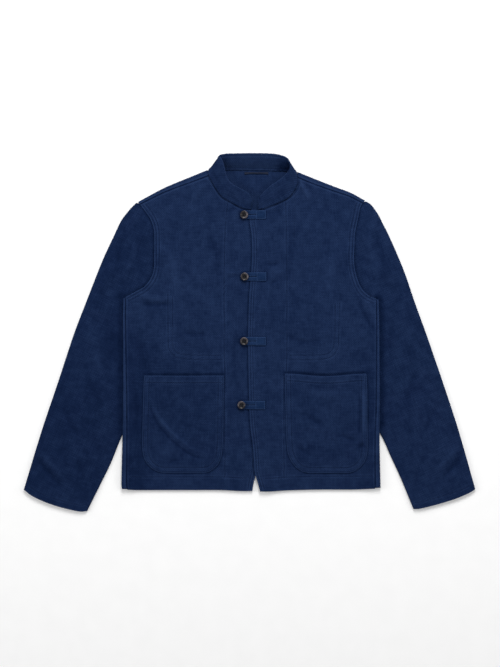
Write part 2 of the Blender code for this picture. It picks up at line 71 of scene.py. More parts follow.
# What the solids leave to this model. Tones are painted shade: how much darker than plain cloth a piece is
# painted, to match the photo's light. The places are plan positions with a reach both ways, or lines, where
# shadows and highlights are painted round the collar.
SHELL = 1.3
TUCK = 1.8
PANEL_STEP = 2.3 * COARSE
BACK_STEP = 4.8 * COARSE
SLEEVE_STEP = 2.9 * COARSE
STITCH_PITCH = 3.3
STITCH_LENGTH = 2.3
STITCH_RADIUS = 0.34
PLAIN = 0.33
# Painted shade: each sleeve and each pocket is painted darker than plain cloth, by side.
SLEEVE_PAINTED_SHADE = {"right": 0.13, "left": 0.05}
POCKET_PAINTED_SHADE = {"right": 0.07, "left": 0.03}
POCKET_SAG = {"right": 0.8, "left": 2.2}
# Painted shade: the lower sides of the fronts are painted darker.
LOWER_SIDE_PAINTED_SHADE = {"right": 0.17, "left": 0.08}
BUTTON_SCALE = 0.93
# Painted shadows: in the collar's inner corner, and in the V between the collar's front ends.
COLLAR_CORNER_SHADOW = (73.0, 275.0, 13.0, 12.0)
COLLAR_MOUTH_SHADOW = (9.0, 216.0, 7.0, 15.0)
# Painted shadow: a dark line painted along the gap between the collar's front ends.
COLLAR_GAP_SHADOW = ((6.5, 219.0), (9.0, 205.0), (12.5, 193.0))
# Painted highlights: light lines painted along the rims of the collar's front ends.
COLLAR_RIM_HIGHLIGHTS = (((-4.5, 220.5), (0.0, 212.0), (2.0, 202.0)),
               ((26.0, 227.0), (18.0, 218.0), (16.0, 208.0), (17.5, 197.0)))
CREASE_STRENGTH = 1.8
HEM_DEPTH = 28.0
CUFF_HEM = 14.0

# x and y of each outline, in order along the edge. "right" is the wearer's right.
ARMHOLE = {
    "right": ((-235, 203), (-224, 188), (-211, 169), (-204, 148), (-203, 124), (-203, 92),
              (-204, 65), (-211, 44), (-224, 28), (-243, 17), (-264, 6)),
    "left": ((236, 206), (230, 195), (225, 172), (219, 143), (217, 113), (216, 88),
             (218, 65), (225, 39), (235, 20), (250, 8), (264, 3)),
}
SLEEVE_HIDDEN_HEAD = {
    "right": ((-204, 65), (-194, 36), (-180, 10), (-162, -13)),
    "left": ((218, 65), (206, 36), (187, 10), (162, -13)),
}
SLEEVE_OUTER = {
    "right": ((-241, 204), (-252, 193), (-262, 181), (-274, 164), (-290, 130), (-313, 80), (-346, -4),
              (-372, -72), (-405, -172), (-439, -273), (-477, -398)),
    "left": ((241, 207), (252, 200), (267, 180), (276, 162), (292, 130), (321, 62), (344, -5),
             (369, -74), (403, -173), (436, -274), (471, -397)),
}
SLEEVE_INNER = {
    "right": ((-162, -13), (-166, -63), (-191, -126), (-218, -185), (-246, -235), (-272, -288),
              (-294, -342), (-319, -393), (-344, -443)),
    "left": ((162, -13), (166, -63), (191, -126), (218, -185), (246, -235), (277, -292),
             (292, -326), (315, -376), (341, -439)),
}
CUFF = {
    "right": ((-477, -398), (-460, -411), (-435, -423), (-410, -432), (-384, -439), (-359, -444),
              (-344, -443)),
    "left": ((471, -397), (456, -406), (430, -417), (405, -425), (380, -432), (355, -438),
             (341, -439)),
}
SIDE_FOLD = {
    "right": ((-271, -397), (-272, -378), (-270, -294), (-269, -210), (-269, -126), (-269, -42), (-268, 4)),
    "left": ((272, -394), (271, -357), (270, -294), (271, -210), (270, -84), (269, -30), (268, 1)),
}
SHOULDER_FOLD = {
    "right": ((-91, 273), (-128, 258), (-183, 235), (-237, 206)),
    "left": ((97, 269), (132, 255), (178, 237), (210, 225), (239, 209)),
}
BACK_NECK = {
    "right": ((6, 273.5), (-25, 274.5), (-55, 274), (-76, 272.5), (-90.6, 270)),
    "left": ((6, 273.5), (30, 273), (61, 271.5), (82, 269.5), (97.4, 266)),
}
BACK_CENTRE = ((3, -364), (4, -100), (5, 120), (6, 273.5))
BACK_HEM = {
    "right": ((3, -364), (-70, -375), (-150, -389), (-220, -396), (-271, -397)),
    "left": ((3, -364), (76, -374), (156, -388), (225, -393), (272, -394)),
}
FRONT_EDGE = {
    "right": ((3, -401), (5, -386), (9, -371), (13, -345), (18, -290), (20, -210), (20, -60), (20, 60),
              (19, 190)),
    "left": ((19, -402), (14, -383), (10, -370), (7, -357), (4, -310), (-2, -260), (-4, -210), (-5, -168),
             (-6, -113), (-6, -59), (-4, 6), (-1, 42), (2, 92), (1, 136), (-3, 164), (-1, 178), (2, 190)),
}
FRONT_NECK = {
    "right": ((19, 190), (-1, 191), (-21, 195), (-40, 205), (-60, 217), (-72, 233), (-82, 250), (-89.5, 261)),
    "left": ((2, 190), (13, 189), (25, 192), (50, 201), (78, 215), (92, 229), (99, 244), (99, 256.5)),
}
FRONT_HEM = {
    "right": ((3, -401), (-23, -401), (-65, -399), (-128, -399), (-191, -399), (-240, -399), (-260, -398)),
    "left": ((19, -402), (40, -402), (82, -399.5), (145, -398), (208, -398), (240, -397), (261, -396)),
}
SHOULDER_TURN = {"right": (12.5, 6.5), "left": (12.5, 7.0)}
NECK_CUT = {"right": (0.12, -0.99), "left": (0.16, -0.987)}
SIDE_TURN = {"right": (11.0, 5.0), "left": (11.0, 5.0)}

# x and y of both ends, height, width: the soft folds that the solids have too.
BODY_FOLDS = (
    ((-238, 14), (-150, 6), 0.7, 15.0),
    ((-150, -52), (-60, -64), 0.5, 26.0),
    ((60, -40), (170, -75), 0.5, 26.0),
    ((-190, 150), (-170, 40), 0.5, 20.0),
    ((196, 160), (176, 40), 0.5, 20.0),
    ((-90, 120), (-60, -30), -0.5, 28.0),
    ((100, 110), (84, -20), -0.5, 28.0),
)
SLEEVE_FOLDS = {
    "right": (
        ((-246, 150), (-300, 20), 0.7, 16.0),
        ((-330, -60), (-296, -130), 0.6, 15.0),
        ((-452, -330), (-396, -396), -0.9, 14.0),
        ((-426, -312), (-366, -374), 0.6, 16.0),
        ((-380, -190), (-330, -250), 0.5, 16.0),
    ),
    "left": (
        ((250, 160), (300, 20), 0.7, 16.0),
        ((336, -70), (300, -140), 0.6, 15.0),
        ((446, -330), (392, -386), -0.7, 14.0),
        ((420, -300), (372, -350), 0.6, 16.0),
        ((380, -180), (332, -240), 0.5, 16.0),
    ),
}

# Height of the trough (negative) or ridge, its half width, and the points it runs through.
FRONT_CREASES = {
    "right": (
        (-0.8, 5.0, ((-236, -6), (-210, -10), (-184, -9), (-156, -10))),
        (0.6, 6.0, ((-238, 10), (-205, 4), (-170, 2))),
        (-0.5, 4.0, ((-48, 46), (-34, 50), (-24, 50))),
        (0.5, 5.0, ((-60, 60), (-40, 57), (-26, 54))),
        (-0.5, 7.0, ((-214, 130), (-196, 90), (-190, 50))),
        (-0.6, 6.0, ((-150, -64), (-120, -72), (-84, -70))),
        (-0.5, 8.0, ((-90, 150), (-72, 90), (-62, 30))),
        (0.4, 7.0, ((-180, 120), (-160, 60), (-156, 10))),
        (-0.5, 5.0, ((-246, -170), (-240, -230), (-244, -290))),
        (-0.4, 6.0, ((-30, -60), (-36, -120), (-30, -180))),
        (0.5, 6.0, ((-90, 250), (-112, 226), (-128, 196))),
        (-0.5, 5.0, ((-30, 195), (-44, 188), (-60, 184))),
        (-0.4, 8.0, ((-260, -60), (-236, -100), (-222, -140))),
    ),
    "left": (
        (-0.9, 4.5, ((229, 2), (235, -23), (246, -46), (258, -64))),
        (0.8, 5.5, ((244, 4), (250, -16), (260, -36))),
        (1.1, 4.5, ((99, 258), (108, 240), (117, 222), (122, 206))),
        (-0.6, 5.0, ((110, 260), (124, 236), (134, 214))),
        (-0.8, 4.5, ((32, 76), (48, 74), (66, 80))),
        (0.5, 5.0, ((36, 66), (54, 60), (70, 56))),
        (-0.6, 5.0, ((36, 32), (52, 40), (64, 48))),
        (-0.5, 7.0, ((226, 130), (206, 92), (196, 52))),
        (-0.5, 8.0, ((96, 150), (80, 90), (76, 30))),
        (0.4, 8.0, ((180, 110), (168, 60), (160, 8))),
        (-0.5, 6.0, ((60, -70), (110, -88), (160, -80))),
        (-0.5, 5.0, ((252, -150), (246, -220), (250, -290))),
        (-0.4, 6.0, ((30, -120), (34, -160), (28, -200))),
        (-0.5, 5.0, ((30, 186), (48, 184), (66, 188))),
    ),
}
POCKET_CREASES = {
    "right": (
        (-0.8, 2.6, ((-218, -206), (-206, -240), (-190, -268), (-160, -300), (-124, -326), (-84, -338))),
        (0.7, 3.2, ((-212, -200), (-198, -238), (-180, -264), (-150, -292), (-116, -316), (-80, -326))),
        (-0.5, 2.8, ((-226, -276), (-214, -272), (-204, -268))),
        (-0.5, 3.0, ((-176, -344), (-164, -338), (-152, -336))),
        (0.4, 12.0, ((-190, -330), (-170, -312), (-158, -290))),
    ),
    "left": (
        (1.5, 4.2, ((234, -182), (236, -210), (236, -250), (234, -292))),
        (-0.9, 3.0, ((228, -186), (229, -220), (229, -262), (228, -290))),
        (-1.2, 5.0, ((238, -300), (232, -306), (226, -312))),
        (-0.5, 5.0, ((112, -240), (132, -252), (156, -268))),
        (-0.6, 4.0, ((186, -282), (204, -290), (226, -296))),
        (0.5, 8.0, ((120, -190), (160, -200), (200, -196))),
        (-0.4, 5.0, ((96, -300), (112, -318), (134, -330))),
    ),
}
SLEEVE_CREASES = {
    "right": (
        (-1.0, 5.0, ((-454, -326), (-430, -356), (-408, -382), (-392, -400))),
        (0.7, 6.0, ((-444, -316), (-418, -346), (-394, -374))),
        (-0.5, 6.0, ((-300, -40), (-290, -90), (-296, -140))),
        (-0.6, 7.0, ((-262, 150), (-276, 100), (-282, 50))),
        (0.5, 7.0, ((-240, 120), (-256, 70), (-268, 30))),
        (-0.5, 7.0, ((-352, -150), (-330, -190), (-318, -230))),
        (-0.5, 6.0, ((-400, -220), (-376, -262), (-352, -300))),
        (0.4, 7.0, ((-340, -60), (-326, -110), (-318, -160))),
        (-0.5, 5.0, ((-368, -330), (-352, -372), (-342, -410))),
    ),
    "left": (
        (-0.8, 5.5, ((446, -320), (424, -350), (400, -376))),
        (0.6, 6.0, ((436, -306), (410, -336), (386, -362))),
        (-0.5, 6.0, ((300, -36), (292, -90), (298, -140))),
        (-0.6, 7.0, ((258, 158), (272, 104), (282, 50))),
        (0.5, 7.0, ((244, 130), (258, 76), (270, 30))),
        (-0.5, 7.0, ((354, -140), (334, -184), (322, -226))),
        (-0.5, 6.0, ((398, -210), (376, -250), (354, -290))),
        (-0.5, 5.0, ((364, -320), (350, -362), (342, -400))),
    ),
}
BACK_CREASES = (
    (-0.5, 10.0, ((-60, 180), (-90, 90), (-80, 0))),
    (-0.5, 10.0, ((70, 170), (96, 80), (84, -10))),
    (0.5, 9.0, ((-30, 100), (-44, 20), (-30, -60))),
    (0.4, 9.0, ((40, 60), (30, -40), (44, -120))),
    (-0.4, 12.0, ((-110, -150), (-60, -190), (-20, -250))),
    (-0.4, 12.0, ((120, -140), (70, -200), (30, -260))),
)

# y of each row of the pocket, then its left and right x there.
POCKET_OUTLINE = {
    "right": ((-158.5, -224, -57), (-172, -225, -57.2), (-205, -226, -57.5), (-245, -227, -58),
              (-285, -228, -58.5),
              (-312, -228, -60), (-326, -226, -61.5), (-338, -221.5, -65.5), (-348, -214, -71.5),
              (-356, -204.5, -80), (-361, -194, -89), (-362.7, -182, -101)),
    "left": ((-158.5, 71, 242), (-172, 71.5, 243), (-205, 72, 244), (-245, 73, 244), (-285, 74, 244.5),
             (-312, 75.5, 244.5), (-326, 78.5, 243), (-338, 84, 239), (-348, 91, 232),
             (-356, 100, 223), (-361, 110, 213), (-363.5, 121, 201)),
}
POCKET_HEM = 14.5
INNER_POCKET = {
    "right": ((-174, 12), (-174, -40), (-174, -88), (-171, -104), (-162, -116), (-150, -122), (-120, -124.5),
              (-90, -125), (-60, -125)),
    "left": ((186, -6), (185, -40), (184, -86), (181, -102), (172, -116), (160, -122), (140, -124.5),
             (110, -125), (78, -125)),
}
FACING = {
    "right": ((-48, 214), (-54, 150), (-56, 60), (-56, -60), (-55, -160), (-55, -260), (-55, -374)),
    "left": ((72, 216), (74, 150), (75, 60), (75, -60), (74, -156), (69, -170), (69, -260), (69, -374)),
}

# Seam point, free edge point, height of the seam and height of the free edge, round the neck.
COLLAR_STATIONS = (
    (0.5, 191.8, 3.0, 208.0, 5.2, 10.0),
    (-6, 192.0, -4, 222.0, 5.2, 12.0),
    (-21, 196.0, -17, 231.0, 5.2, 13.5),
    (-39.6, 205.9, -30, 238.0, 5.3, 15.0),
    (-59.4, 217.9, -44, 247.0, 5.4, 16.5),
    (-71.2, 233.5, -51, 260.0, 5.6, 18.0),
    (-81.1, 250.4, -55, 277.0, 5.8, 20.0),
    (-88.2, 264.5, -60, 293.0, 5.4, 21.5),
    (-86.5, 272.8, -65, 302.0, 3.6, 22.0),
    (-67, 273.9, -56, 305.5, 2.4, 22.0),
    (-44, 274.7, -38, 306.4, 2.2, 22.0),
    (6, 273.9, 2, 307.0, 2.2, 22.0),
    (55, 272.4, 40, 306.4, 2.2, 22.0),
    (76, 270.9, 60, 303.6, 2.4, 22.0),
    (92.9, 268.8, 73, 298.0, 3.6, 22.0),
    (96.0, 260.0, 80, 287.0, 5.8, 21.0),
    (96.4, 245.5, 80.5, 275.0, 6.0, 19.0),
    (89.6, 230.2, 70, 261.0, 5.8, 17.0),
    (77.2, 216.0, 56, 249.0, 5.6, 16.0),
    (59.5, 206.6, 43, 241.0, 5.9, 15.0),
    (38, 197.6, 32, 231.0, 6.9, 14.0),
    (24.6, 193.0, 21, 220.0, 7.6, 13.0),
    (14, 190.6, 15, 205.0, 7.7, 11.0),
)

# Button x and y, front edge x there, and x of the tab's stitched end.
BUTTON_ROWS = (
    (-14.5, 179.0, -1.5, 31.0),
    (-13.5, 49.0, -0.5, 32.0),
    (-14.5, -86.5, -6.0, 31.0),
    (-20.0, -220.5, -3.5, 29.5),
)
HANGER_X = (-13.5, 36.5)
HANGER_Y = (258.5, 270.5)

PHOTO_SIZE = (500, 667)
MM_PER_PIXEL = 2.1
PLAN_ORIGIN_PIXEL = (251.0, 300.0)
CAMERA_HEIGHT = 6.0
SENSOR = 36.0


def plan_shift():
    """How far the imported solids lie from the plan, read from where the first button is."""
    low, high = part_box("button_1")
    middle = (np.array(low) + np.array(high)) / 2
    return np.array([middle[0] * 1000 - BUTTON_ROWS[0][0], middle[1] * 1000 - BUTTON_ROWS[0][1], 0.0])


SHIFT = plan_shift()


def placed(points):
    """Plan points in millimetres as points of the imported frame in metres."""
    return (np.asarray(points, float) + SHIFT) / 1000


def smoothstep(low, high, value):
    share = np.clip((np.asarray(value, float) - low) / (high - low), 0.0, 1.0)
    return share * share * (3 - 2 * share)


def sign_of(side):
    return -1.0 if side == "right" else 1.0


def curve_points(points, per_span=12):
    """A smooth line through the points, as many short spans."""
    knots = np.asarray(points, float)
    padded = np.vstack([2 * knots[0] - knots[1], knots, 2 * knots[-1] - knots[-2]])
    line = []
    for index in range(1, len(padded) - 2):
        before, start, end, after = padded[index - 1:index + 3]
        for step in range(per_span):
            t = step / per_span
            line.append(0.5 * (2 * start + (end - before) * t
                               + (2 * before - 5 * start + 4 * end - after) * t * t
                               + (3 * start - before - 3 * end + after) * t ** 3))
    line.append(knots[-1])
    return np.array(line)


def lengths_of(line):
    return np.concatenate([[0], np.cumsum(np.linalg.norm(np.diff(line, axis=0), axis=1))])


def along(points, shares):
    """Points of the smooth line at shares of its length."""
    line = curve_points(points)
    length = lengths_of(line)
    at = np.asarray(shares, float) * length[-1]
    return np.stack([np.interp(at, length, line[:, axis]) for axis in range(line.shape[1])], axis=-1)


def patch(left, right, bottom, top, across, up):
    """The sheet of points between four edges, rows going up and columns across."""
    u = across[None, :, None]
    v = up[:, None, None]
    corners = ((1 - u) * (1 - v) * bottom[0] + u * (1 - v) * bottom[-1]
               + (1 - u) * v * top[0] + u * v * top[-1])
    return ((1 - u) * left[:, None] + u * right[:, None]
            + (1 - v) * bottom[None] + v * top[None] - corners)


def nearest_on_line(line, x, y, reach=None):
    """Distance from each point to the line, and how far along the line the nearest place is.

    Points further than the reach from the line's box aren't looked at, and count as far away."""
    flat_x, flat_y = np.ravel(x), np.ravel(y)
    best = np.full(flat_x.shape, 1e3)
    place = np.zeros(flat_x.shape)
    chosen = np.arange(len(flat_x))
    if reach is not None:
        low = line.min(axis=0) - reach
        high = line.max(axis=0) + reach
        inside_x = (flat_x > low[0]) & (flat_x < high[0])
        inside_y = (flat_y > low[1]) & (flat_y < high[1])
        chosen = np.flatnonzero(inside_x & inside_y)
    near_x, near_y = flat_x[chosen], flat_y[chosen]
    near_best, near_place = best[chosen], place[chosen]
    length = lengths_of(line)
    for index in range(len(line) - 1):
        start = line[index]
        span = line[index + 1] - start
        size = float(span @ span)
        if size < 1e-12:
            continue
        share = np.clip(((near_x - start[0]) * span[0] + (near_y - start[1]) * span[1]) / size, 0, 1)
        distance = np.hypot(near_x - start[0] - share * span[0], near_y - start[1] - share * span[1])
        closer = distance < near_best
        near_best = np.where(closer, distance, near_best)
        near_place = np.where(closer, length[index] + share * math.sqrt(size), near_place)
    best[chosen] = near_best
    place[chosen] = near_place
    return best.reshape(np.shape(x)), place.reshape(np.shape(x))


def distance_to_line(points, x, y, per_span=6):
    return nearest_on_line(curve_points(points, per_span), x, y)[0]


def distance_outside(polygon, x, y):
    """Distance to the polygon, and nought inside it."""
    corners = np.asarray(polygon, float)
    following = np.roll(corners, -1, axis=0)
    inside = np.zeros(np.shape(x), bool)
    for (x0, y0), (x1, y1) in zip(corners, following):
        if y0 != y1:
            crosses = (y0 > y) != (y1 > y)
            inside ^= crosses & (x < (x1 - x0) * (y - y0) / (y1 - y0) + x0)
    distance = nearest_on_line(np.vstack([corners, corners[:1]]), x, y)[0]
    return np.where(inside, 0.0, distance)


def fold_height(folds, x, y):
    """Soft ridges and troughs that fade out towards their ends."""
    height = np.zeros(np.shape(x))
    for start, end, rise, width in folds:
        start = np.array(start, float)
        span = np.array(end, float) - start
        share = ((x - start[0]) * span[0] + (y - start[1]) * span[1]) / (span @ span)
        aside = ((x - start[0]) * -span[1] + (y - start[1]) * span[0]) / math.hypot(*span)
        ends = np.exp(-np.square(np.clip(np.abs(share - 0.5) - 0.3, 0, None) / 0.2))
        height = height + rise * ends * np.exp(-np.square(aside / width))
    return height


def crease_height(creases, x, y, strength=CREASE_STRENGTH):
    """Troughs and ridges along curved lines, deepest in the middle of their length."""
    height = np.zeros(np.shape(x))
    for rise, width, points in creases:
        line = curve_points(points, 6)
        distance, place = nearest_on_line(line, x, y, 4 * width)
        share = place / lengths_of(line)[-1]
        ends = smoothstep(0.0, 0.3, share) * smoothstep(1.0, 0.65, share)
        height += strength * rise * (0.15 + 0.85 * ends) * np.exp(-np.square(distance / width))
    return height


def rumple(x, y, seed, size=70.0):
    """A low uneven swell of the cloth, from a few crossing waves."""
    source = np.random.default_rng(seed)
    height = np.zeros(np.shape(x))
    for _ in range(9):
        angle = source.uniform(0, math.pi)
        length = size * source.uniform(0.45, 1.5)
        phase = source.uniform(0, 2 * math.pi)
        along_wave = (x * math.cos(angle) + y * math.sin(angle)) * 2 * math.pi / length
        beside_wave = x * math.sin(angle) - y * math.cos(angle)
        bend = 0.8 * np.sin(beside_wave * 2 * math.pi / (2.3 * length) + phase)
        height += np.sin(along_wave + bend + phase) * source.uniform(0.5, 1.0)
    return height / 4.0


def pucker(distance, place, seed, reach=6.0, depth=0.22):
    """Small ripples that cross a line of stitches and die out beside it."""
    source = np.random.default_rng(seed)
    ripple = np.zeros(np.shape(place))
    for length in (7.3, 10.9, 15.7):
        ripple += np.sin(2 * math.pi * place / (length * source.uniform(0.9, 1.1)) + source.uniform(0, 6.3))
    return depth / 2 * ripple * np.exp(-np.square(distance / reach))


def stitched(lines, x, y, seed, depth=0.35, width=1.9):
    """The channel that each row of stitches pulls into the cloth, with its ripples."""
    height = np.zeros(np.shape(x))
    for number, line in enumerate(lines):
        distance, place = nearest_on_line(np.asarray(line, float), x, y, 20.0)
        height -= depth * np.exp(-np.square(distance / width))
        height += pucker(distance, place, seed + number)
    return height


def unit(vectors):
    return vectors / np.maximum(np.linalg.norm(vectors, axis=-1, keepdims=True), 1e-9)


def beside(points, offset, trim_start=0.0, trim_end=0.0):
    """The line that runs beside the points, to their left where the offset is positive, less its two ends."""
    line = curve_points(points, 10)
    tangent = unit(np.gradient(line, axis=0))
    moved = line + np.stack([-tangent[:, 1], tangent[:, 0]], axis=-1) * offset
    length = lengths_of(moved)
    kept = (length >= trim_start) & (length <= length[-1] - trim_end)
    return moved[kept]


def spaced(length, zones):
    """Shares of a length, from each zone's end and step. A negative end counts back from the far end."""
    spots = [0.0]
    for end, step in zones:
        stop = end if end > 0 else length + end
        count = max(1, round((stop - spots[-1]) / (step * COARSE)))
        spots += list(np.linspace(spots[-1], stop, count + 1)[1:])
    return np.array(spots) / length


def grid_quads(rows, columns, keep=None, flip=False):
    row, column = np.meshgrid(np.arange(rows - 1), np.arange(columns - 1), indexing="ij")
    first = (row * columns + column).ravel()
    quads = np.stack([first, first + 1, first + columns + 1, first + columns], axis=-1)
    if keep is not None:
        quads = quads[keep(row, column).ravel()]
    return quads[:, ::-1] if flip else quads


def vertex_normals(points, quads):
    corners = points[quads]
    face = np.cross(corners[:, 2] - corners[:, 0], corners[:, 3] - corners[:, 1])
    normals = np.zeros_like(points)
    for corner in range(4):
        np.add.at(normals, quads[:, corner], face)
    return unit(normals)


def border(quads):
    """Both ends of every edge that only one quad has, in that quad's order."""
    starts = quads.ravel()
    ends = np.roll(quads, -1, axis=1).ravel()
    size = int(quads.max()) + 1
    alone = ~np.isin(starts * size + ends, ends * size + starts)
    return starts[alone], ends[alone]


def shell(name, points, quads, thick, finish, cloth_at, wear_and_painted_light=None):
    """A closed sheet round a middle surface, with round edges. cloth_at places the weave, in millimetres."""
    normals = vertex_normals(points, quads)
    starts, ends = border(quads)
    outward = np.zeros_like(points)
    across = unit(np.cross(points[ends] - points[starts], normals[starts]))
    np.add.at(outward, starts, across)
    np.add.at(outward, ends, across)
    outward = unit(outward)
    half = thick / 2
    inner = points - outward * half
    rim = np.unique(starts)
    position = np.zeros(len(points), int)
    position[rim] = np.arange(len(rim))
    verts = [inner + normals * half, inner - normals * half]
    chain = [np.arange(len(points))]
    # These values carry painted shade and painted light as well as rubbed wear.
    worn_and_shaded = np.full(len(points), PLAIN) if wear_and_painted_light is None else wear_and_painted_light
    texture = [cloth_at, cloth_at]
    wear_and_shade_layers = [worn_and_shaded, np.full(len(points), PLAIN)]
    for step, angle in enumerate(np.radians((36, 72, 108, 144))):
        verts.append(inner[rim] + half * (outward[rim] * math.sin(angle) + normals[rim] * math.cos(angle)))
        chain.append(2 * len(points) + step * len(rim) + position)
        texture.append(cloth_at[rim] + outward[rim, :2] * half * math.sin(angle))
        wear_and_shade_layers.append(np.clip(worn_and_shaded[rim] + 0.15, 0, 1))
    chain.append(np.arange(len(points)) + len(points))
    faces = [quads, quads[:, ::-1] + len(points)]
    for upper, lower in zip(chain[:-1], chain[1:]):
        faces.append(np.stack([lower[starts], lower[ends], upper[ends], upper[starts]], axis=-1))
    return mesh_piece(name, np.vstack(verts), np.vstack(faces), finish, np.vstack(texture),
                      np.concatenate(wear_and_shade_layers))


def mesh_piece(name, verts, faces, finish, texture=None, wear_and_painted_light=None):
    """A smooth mesh from points in plan millimetres, without the points that no face uses."""
    faces = np.asarray(faces)
    used = np.unique(faces)
    renumber = np.zeros(len(verts), int)
    renumber[used] = np.arange(len(used))
    faces = renumber[faces]
    mesh = bpy.data.meshes.new(name)
    mesh.from_pydata(placed(np.asarray(verts)[used]).tolist(), [], faces.tolist())
    if texture is not None:
        layer = mesh.uv_layers.new(name="cloth")
        layer.data.foreach_set("uv", (texture[used][faces.ravel()] / 1000).astype(np.float32).ravel())
    # The point attribute carries rubbed wear together with painted shade and painted light.
    if wear_and_painted_light is not None:
        mesh.attributes.new("wear_and_painted_light", "FLOAT", "POINT").data.foreach_set("value", wear_and_painted_light[used].astype(np.float32))
    mesh.polygons.foreach_set("use_smooth", np.ones(len(mesh.polygons), bool))
    mesh.materials.append(finish)
    made = bpy.data.objects.new(name, mesh)
    bpy.context.scene.collection.objects.link(made)
    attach(made, "root")
    return made


def hidden_sleeve(side):
    """The outline of the part of the sleeve that lies under the body."""
    out = sign_of(side)
    start = SLEEVE_HIDDEN_HEAD[side][0]
    head = [(out * 420, start[1]), start] + list(SLEEVE_HIDDEN_HEAD[side][1:])
    return head + list(SLEEVE_INNER[side][1:]) + [(out * 520, -440)]


def body_cover(side):
    """The outline of the body where it lies over the sleeve."""
    armhole = ARMHOLE[side][6:]
    lower = tuple(reversed(SIDE_FOLD[side]))
    return ((0, COVER_TOP_Y), (armhole[0][0], COVER_TOP_Y)) + armhole + lower + ((0, -400),)


def back_height(side, x, y):
    outside = distance_outside(hidden_sleeve(side), x, y)
    return FLOOR_Z + BACK_OVER_SLEEVE * smoothstep(78, 24, outside) * smoothstep(140, 98, y)


def front_height(side, x, y):
    shoulder = distance_to_line(SHOULDER_FOLD[side], x, y)
    flank = distance_to_line(SIDE_FOLD[side], x, y)
    near_edge = smoothstep(55, 14, np.minimum(shoulder, flank))
    loft = FRONT_LOFT_MIDDLE + (FRONT_LOFT_EDGE - FRONT_LOFT_MIDDLE) * near_edge
    calm = smoothstep(14, 34, np.minimum(shoulder, flank))
    height = back_height(side, x, y) + loft + calm * fold_height(BODY_FOLDS, x, y)
    if side == "left":
        height = height + LAP_RISE * smoothstep(LAP_START_X, LAP_FULL_X, x)
    return height


def sleeve_height(side, x, y):
    outside = distance_outside(body_cover(side), x, y)
    free = smoothstep(20, 62, outside)
    outer = distance_to_line(SLEEVE_OUTER[side], x, y)
    inner = distance_to_line(SLEEVE_INNER[side], x, y)
    calm = smoothstep(4, 30, np.minimum(outer, inner))
    crown = 0.5 * calm + calm * fold_height(SLEEVE_FOLDS[side], x, y)
    return SLEEVE_PRESSED_Z + free * np.clip(SLEEVE_LOFT + crown, None, 3.6)


def inward_directions(line):
    """Unit directions square to the line, turned towards the middle of the body."""
    tangent = np.gradient(line, axis=0)
    square = unit(np.stack([-tangent[:, 1], tangent[:, 0]], axis=-1))
    towards = np.array([0.0, -60.0]) - line
    return square * np.sign((square * towards).sum(axis=1, keepdims=True))


def side_turn(side, shares):
    """The side fold: its points, the directions inwards and the width turned to the front."""
    line = along(SIDE_FOLD[side], shares)
    start, end = SIDE_TURN[side]
    return line, inward_directions(line), start + (end - start) * shares


def shoulder_turn(side, shares):
    """The shoulder fold, as for the side. Its neck end is cut along the neck."""
    line = along(SHOULDER_FOLD[side], shares)
    square = inward_directions(line)
    blend = smoothstep(0.0, 0.4, shares)[:, None]
    inward = unit(np.array(NECK_CUT[side]) * (1 - blend) + square * blend)
    start, end = SHOULDER_TURN[side]
    return line, inward, start + (end - start) * shares


UNDERARM = 0.665
NECK_SHARE = 0.4


def panel_shares(step):
    """Shares up the side and the armhole, and across the neck and the shoulder, close beside sewing."""
    return (spaced(404.0, ((36, min(step, 1.7)), (404, step))),
            spaced(215.0, ((-12, step), (215, 1.3))),
            spaced(105.0, ((13, min(step, 1.2)), (105, step))),
            spaced(160.0, ((-14, step), (160, 1.2))))


def front_grid(side):
    low, high, neck, shoulder = panel_shares(PANEL_STEP)
    up = np.concatenate([low * UNDERARM, UNDERARM + (1 - UNDERARM) * high[1:]])
    across = np.concatenate([neck * NECK_SHARE, NECK_SHARE + (1 - NECK_SHARE) * shoulder[1:]])
    fold, inward, width = shoulder_turn(side, shoulder)
    top = np.vstack([along(FRONT_NECK[side], neck)[:-1], fold + inward * width[:, None]])
    fold, inward, width = side_turn(side, low)
    right = np.vstack([fold + inward * width[:, None], along(tuple(reversed(ARMHOLE[side])), high)[1:]])
    right[-1] = top[-1]
    left = along(FRONT_EDGE[side], up)
    bottom = along(FRONT_HEM[side], across)
    bottom[0] = left[0]
    bottom[-1] = right[0]
    top[0] = left[-1]
    return patch(left, right, bottom, top, across, up)


def seam_lines(side):
    """Where the strips that the back turns over meet the front: along the side and along the shoulder."""
    shares = np.linspace(0, 1, 40)
    made = []
    for turn in (side_turn, shoulder_turn):
        fold, inward, width = turn(side, shares)
        made.append(fold + inward * width[:, None])
    return made


def seam_shade_and_wear(side, x, y):
    """Painted shade in the groove of those seams, and the cloth rubbed lighter on both sides of it."""
    tone = np.zeros(np.shape(x))
    for line, strength in zip(seam_lines(side), (0.8, 1.25)):
        distance, place = nearest_on_line(line, x, y, 14.0)
        uneven = 0.8 + 0.2 * np.sin(place / 11.0)
        tone += strength * uneven * (0.34 * np.exp(-np.square((distance - 3.0) / 1.3))
                                     - 0.5 * np.exp(-np.square(distance / 1.3)))
    return tone


def painted_line_shade(line, x, y, reach, depth):
    """Painted shadow: darker cloth close beside an edge that lies on it. Taken away, it paints a highlight
    along a line instead.
    """
    return -depth * np.exp(-np.square(nearest_on_line(np.asarray(line, float), x, y, 4 * reach)[0] / reach))


def painted_light_patch(x, y, place):
    """How far into a soft painted patch each point lies, as painted shadow when taken away and painted light
    when added: its middle and its reach both ways are the place.
    """
    middle_x, middle_y, reach_x, reach_y = place
    return np.exp(-np.square((x - middle_x) / reach_x) - np.square((y - middle_y) / reach_y))


def mouth_shift(side, x):
    """How far the pocket's upper edge hangs below or stands above a straight line."""
    low, high = POCKET_OUTLINE[side][0][1:]
    hang = np.sin(math.pi * np.clip((x - low) / (high - low), 0, 1)) ** 2
    return 4.0 - 5.4 * hang if side == "left" else -0.5 * hang


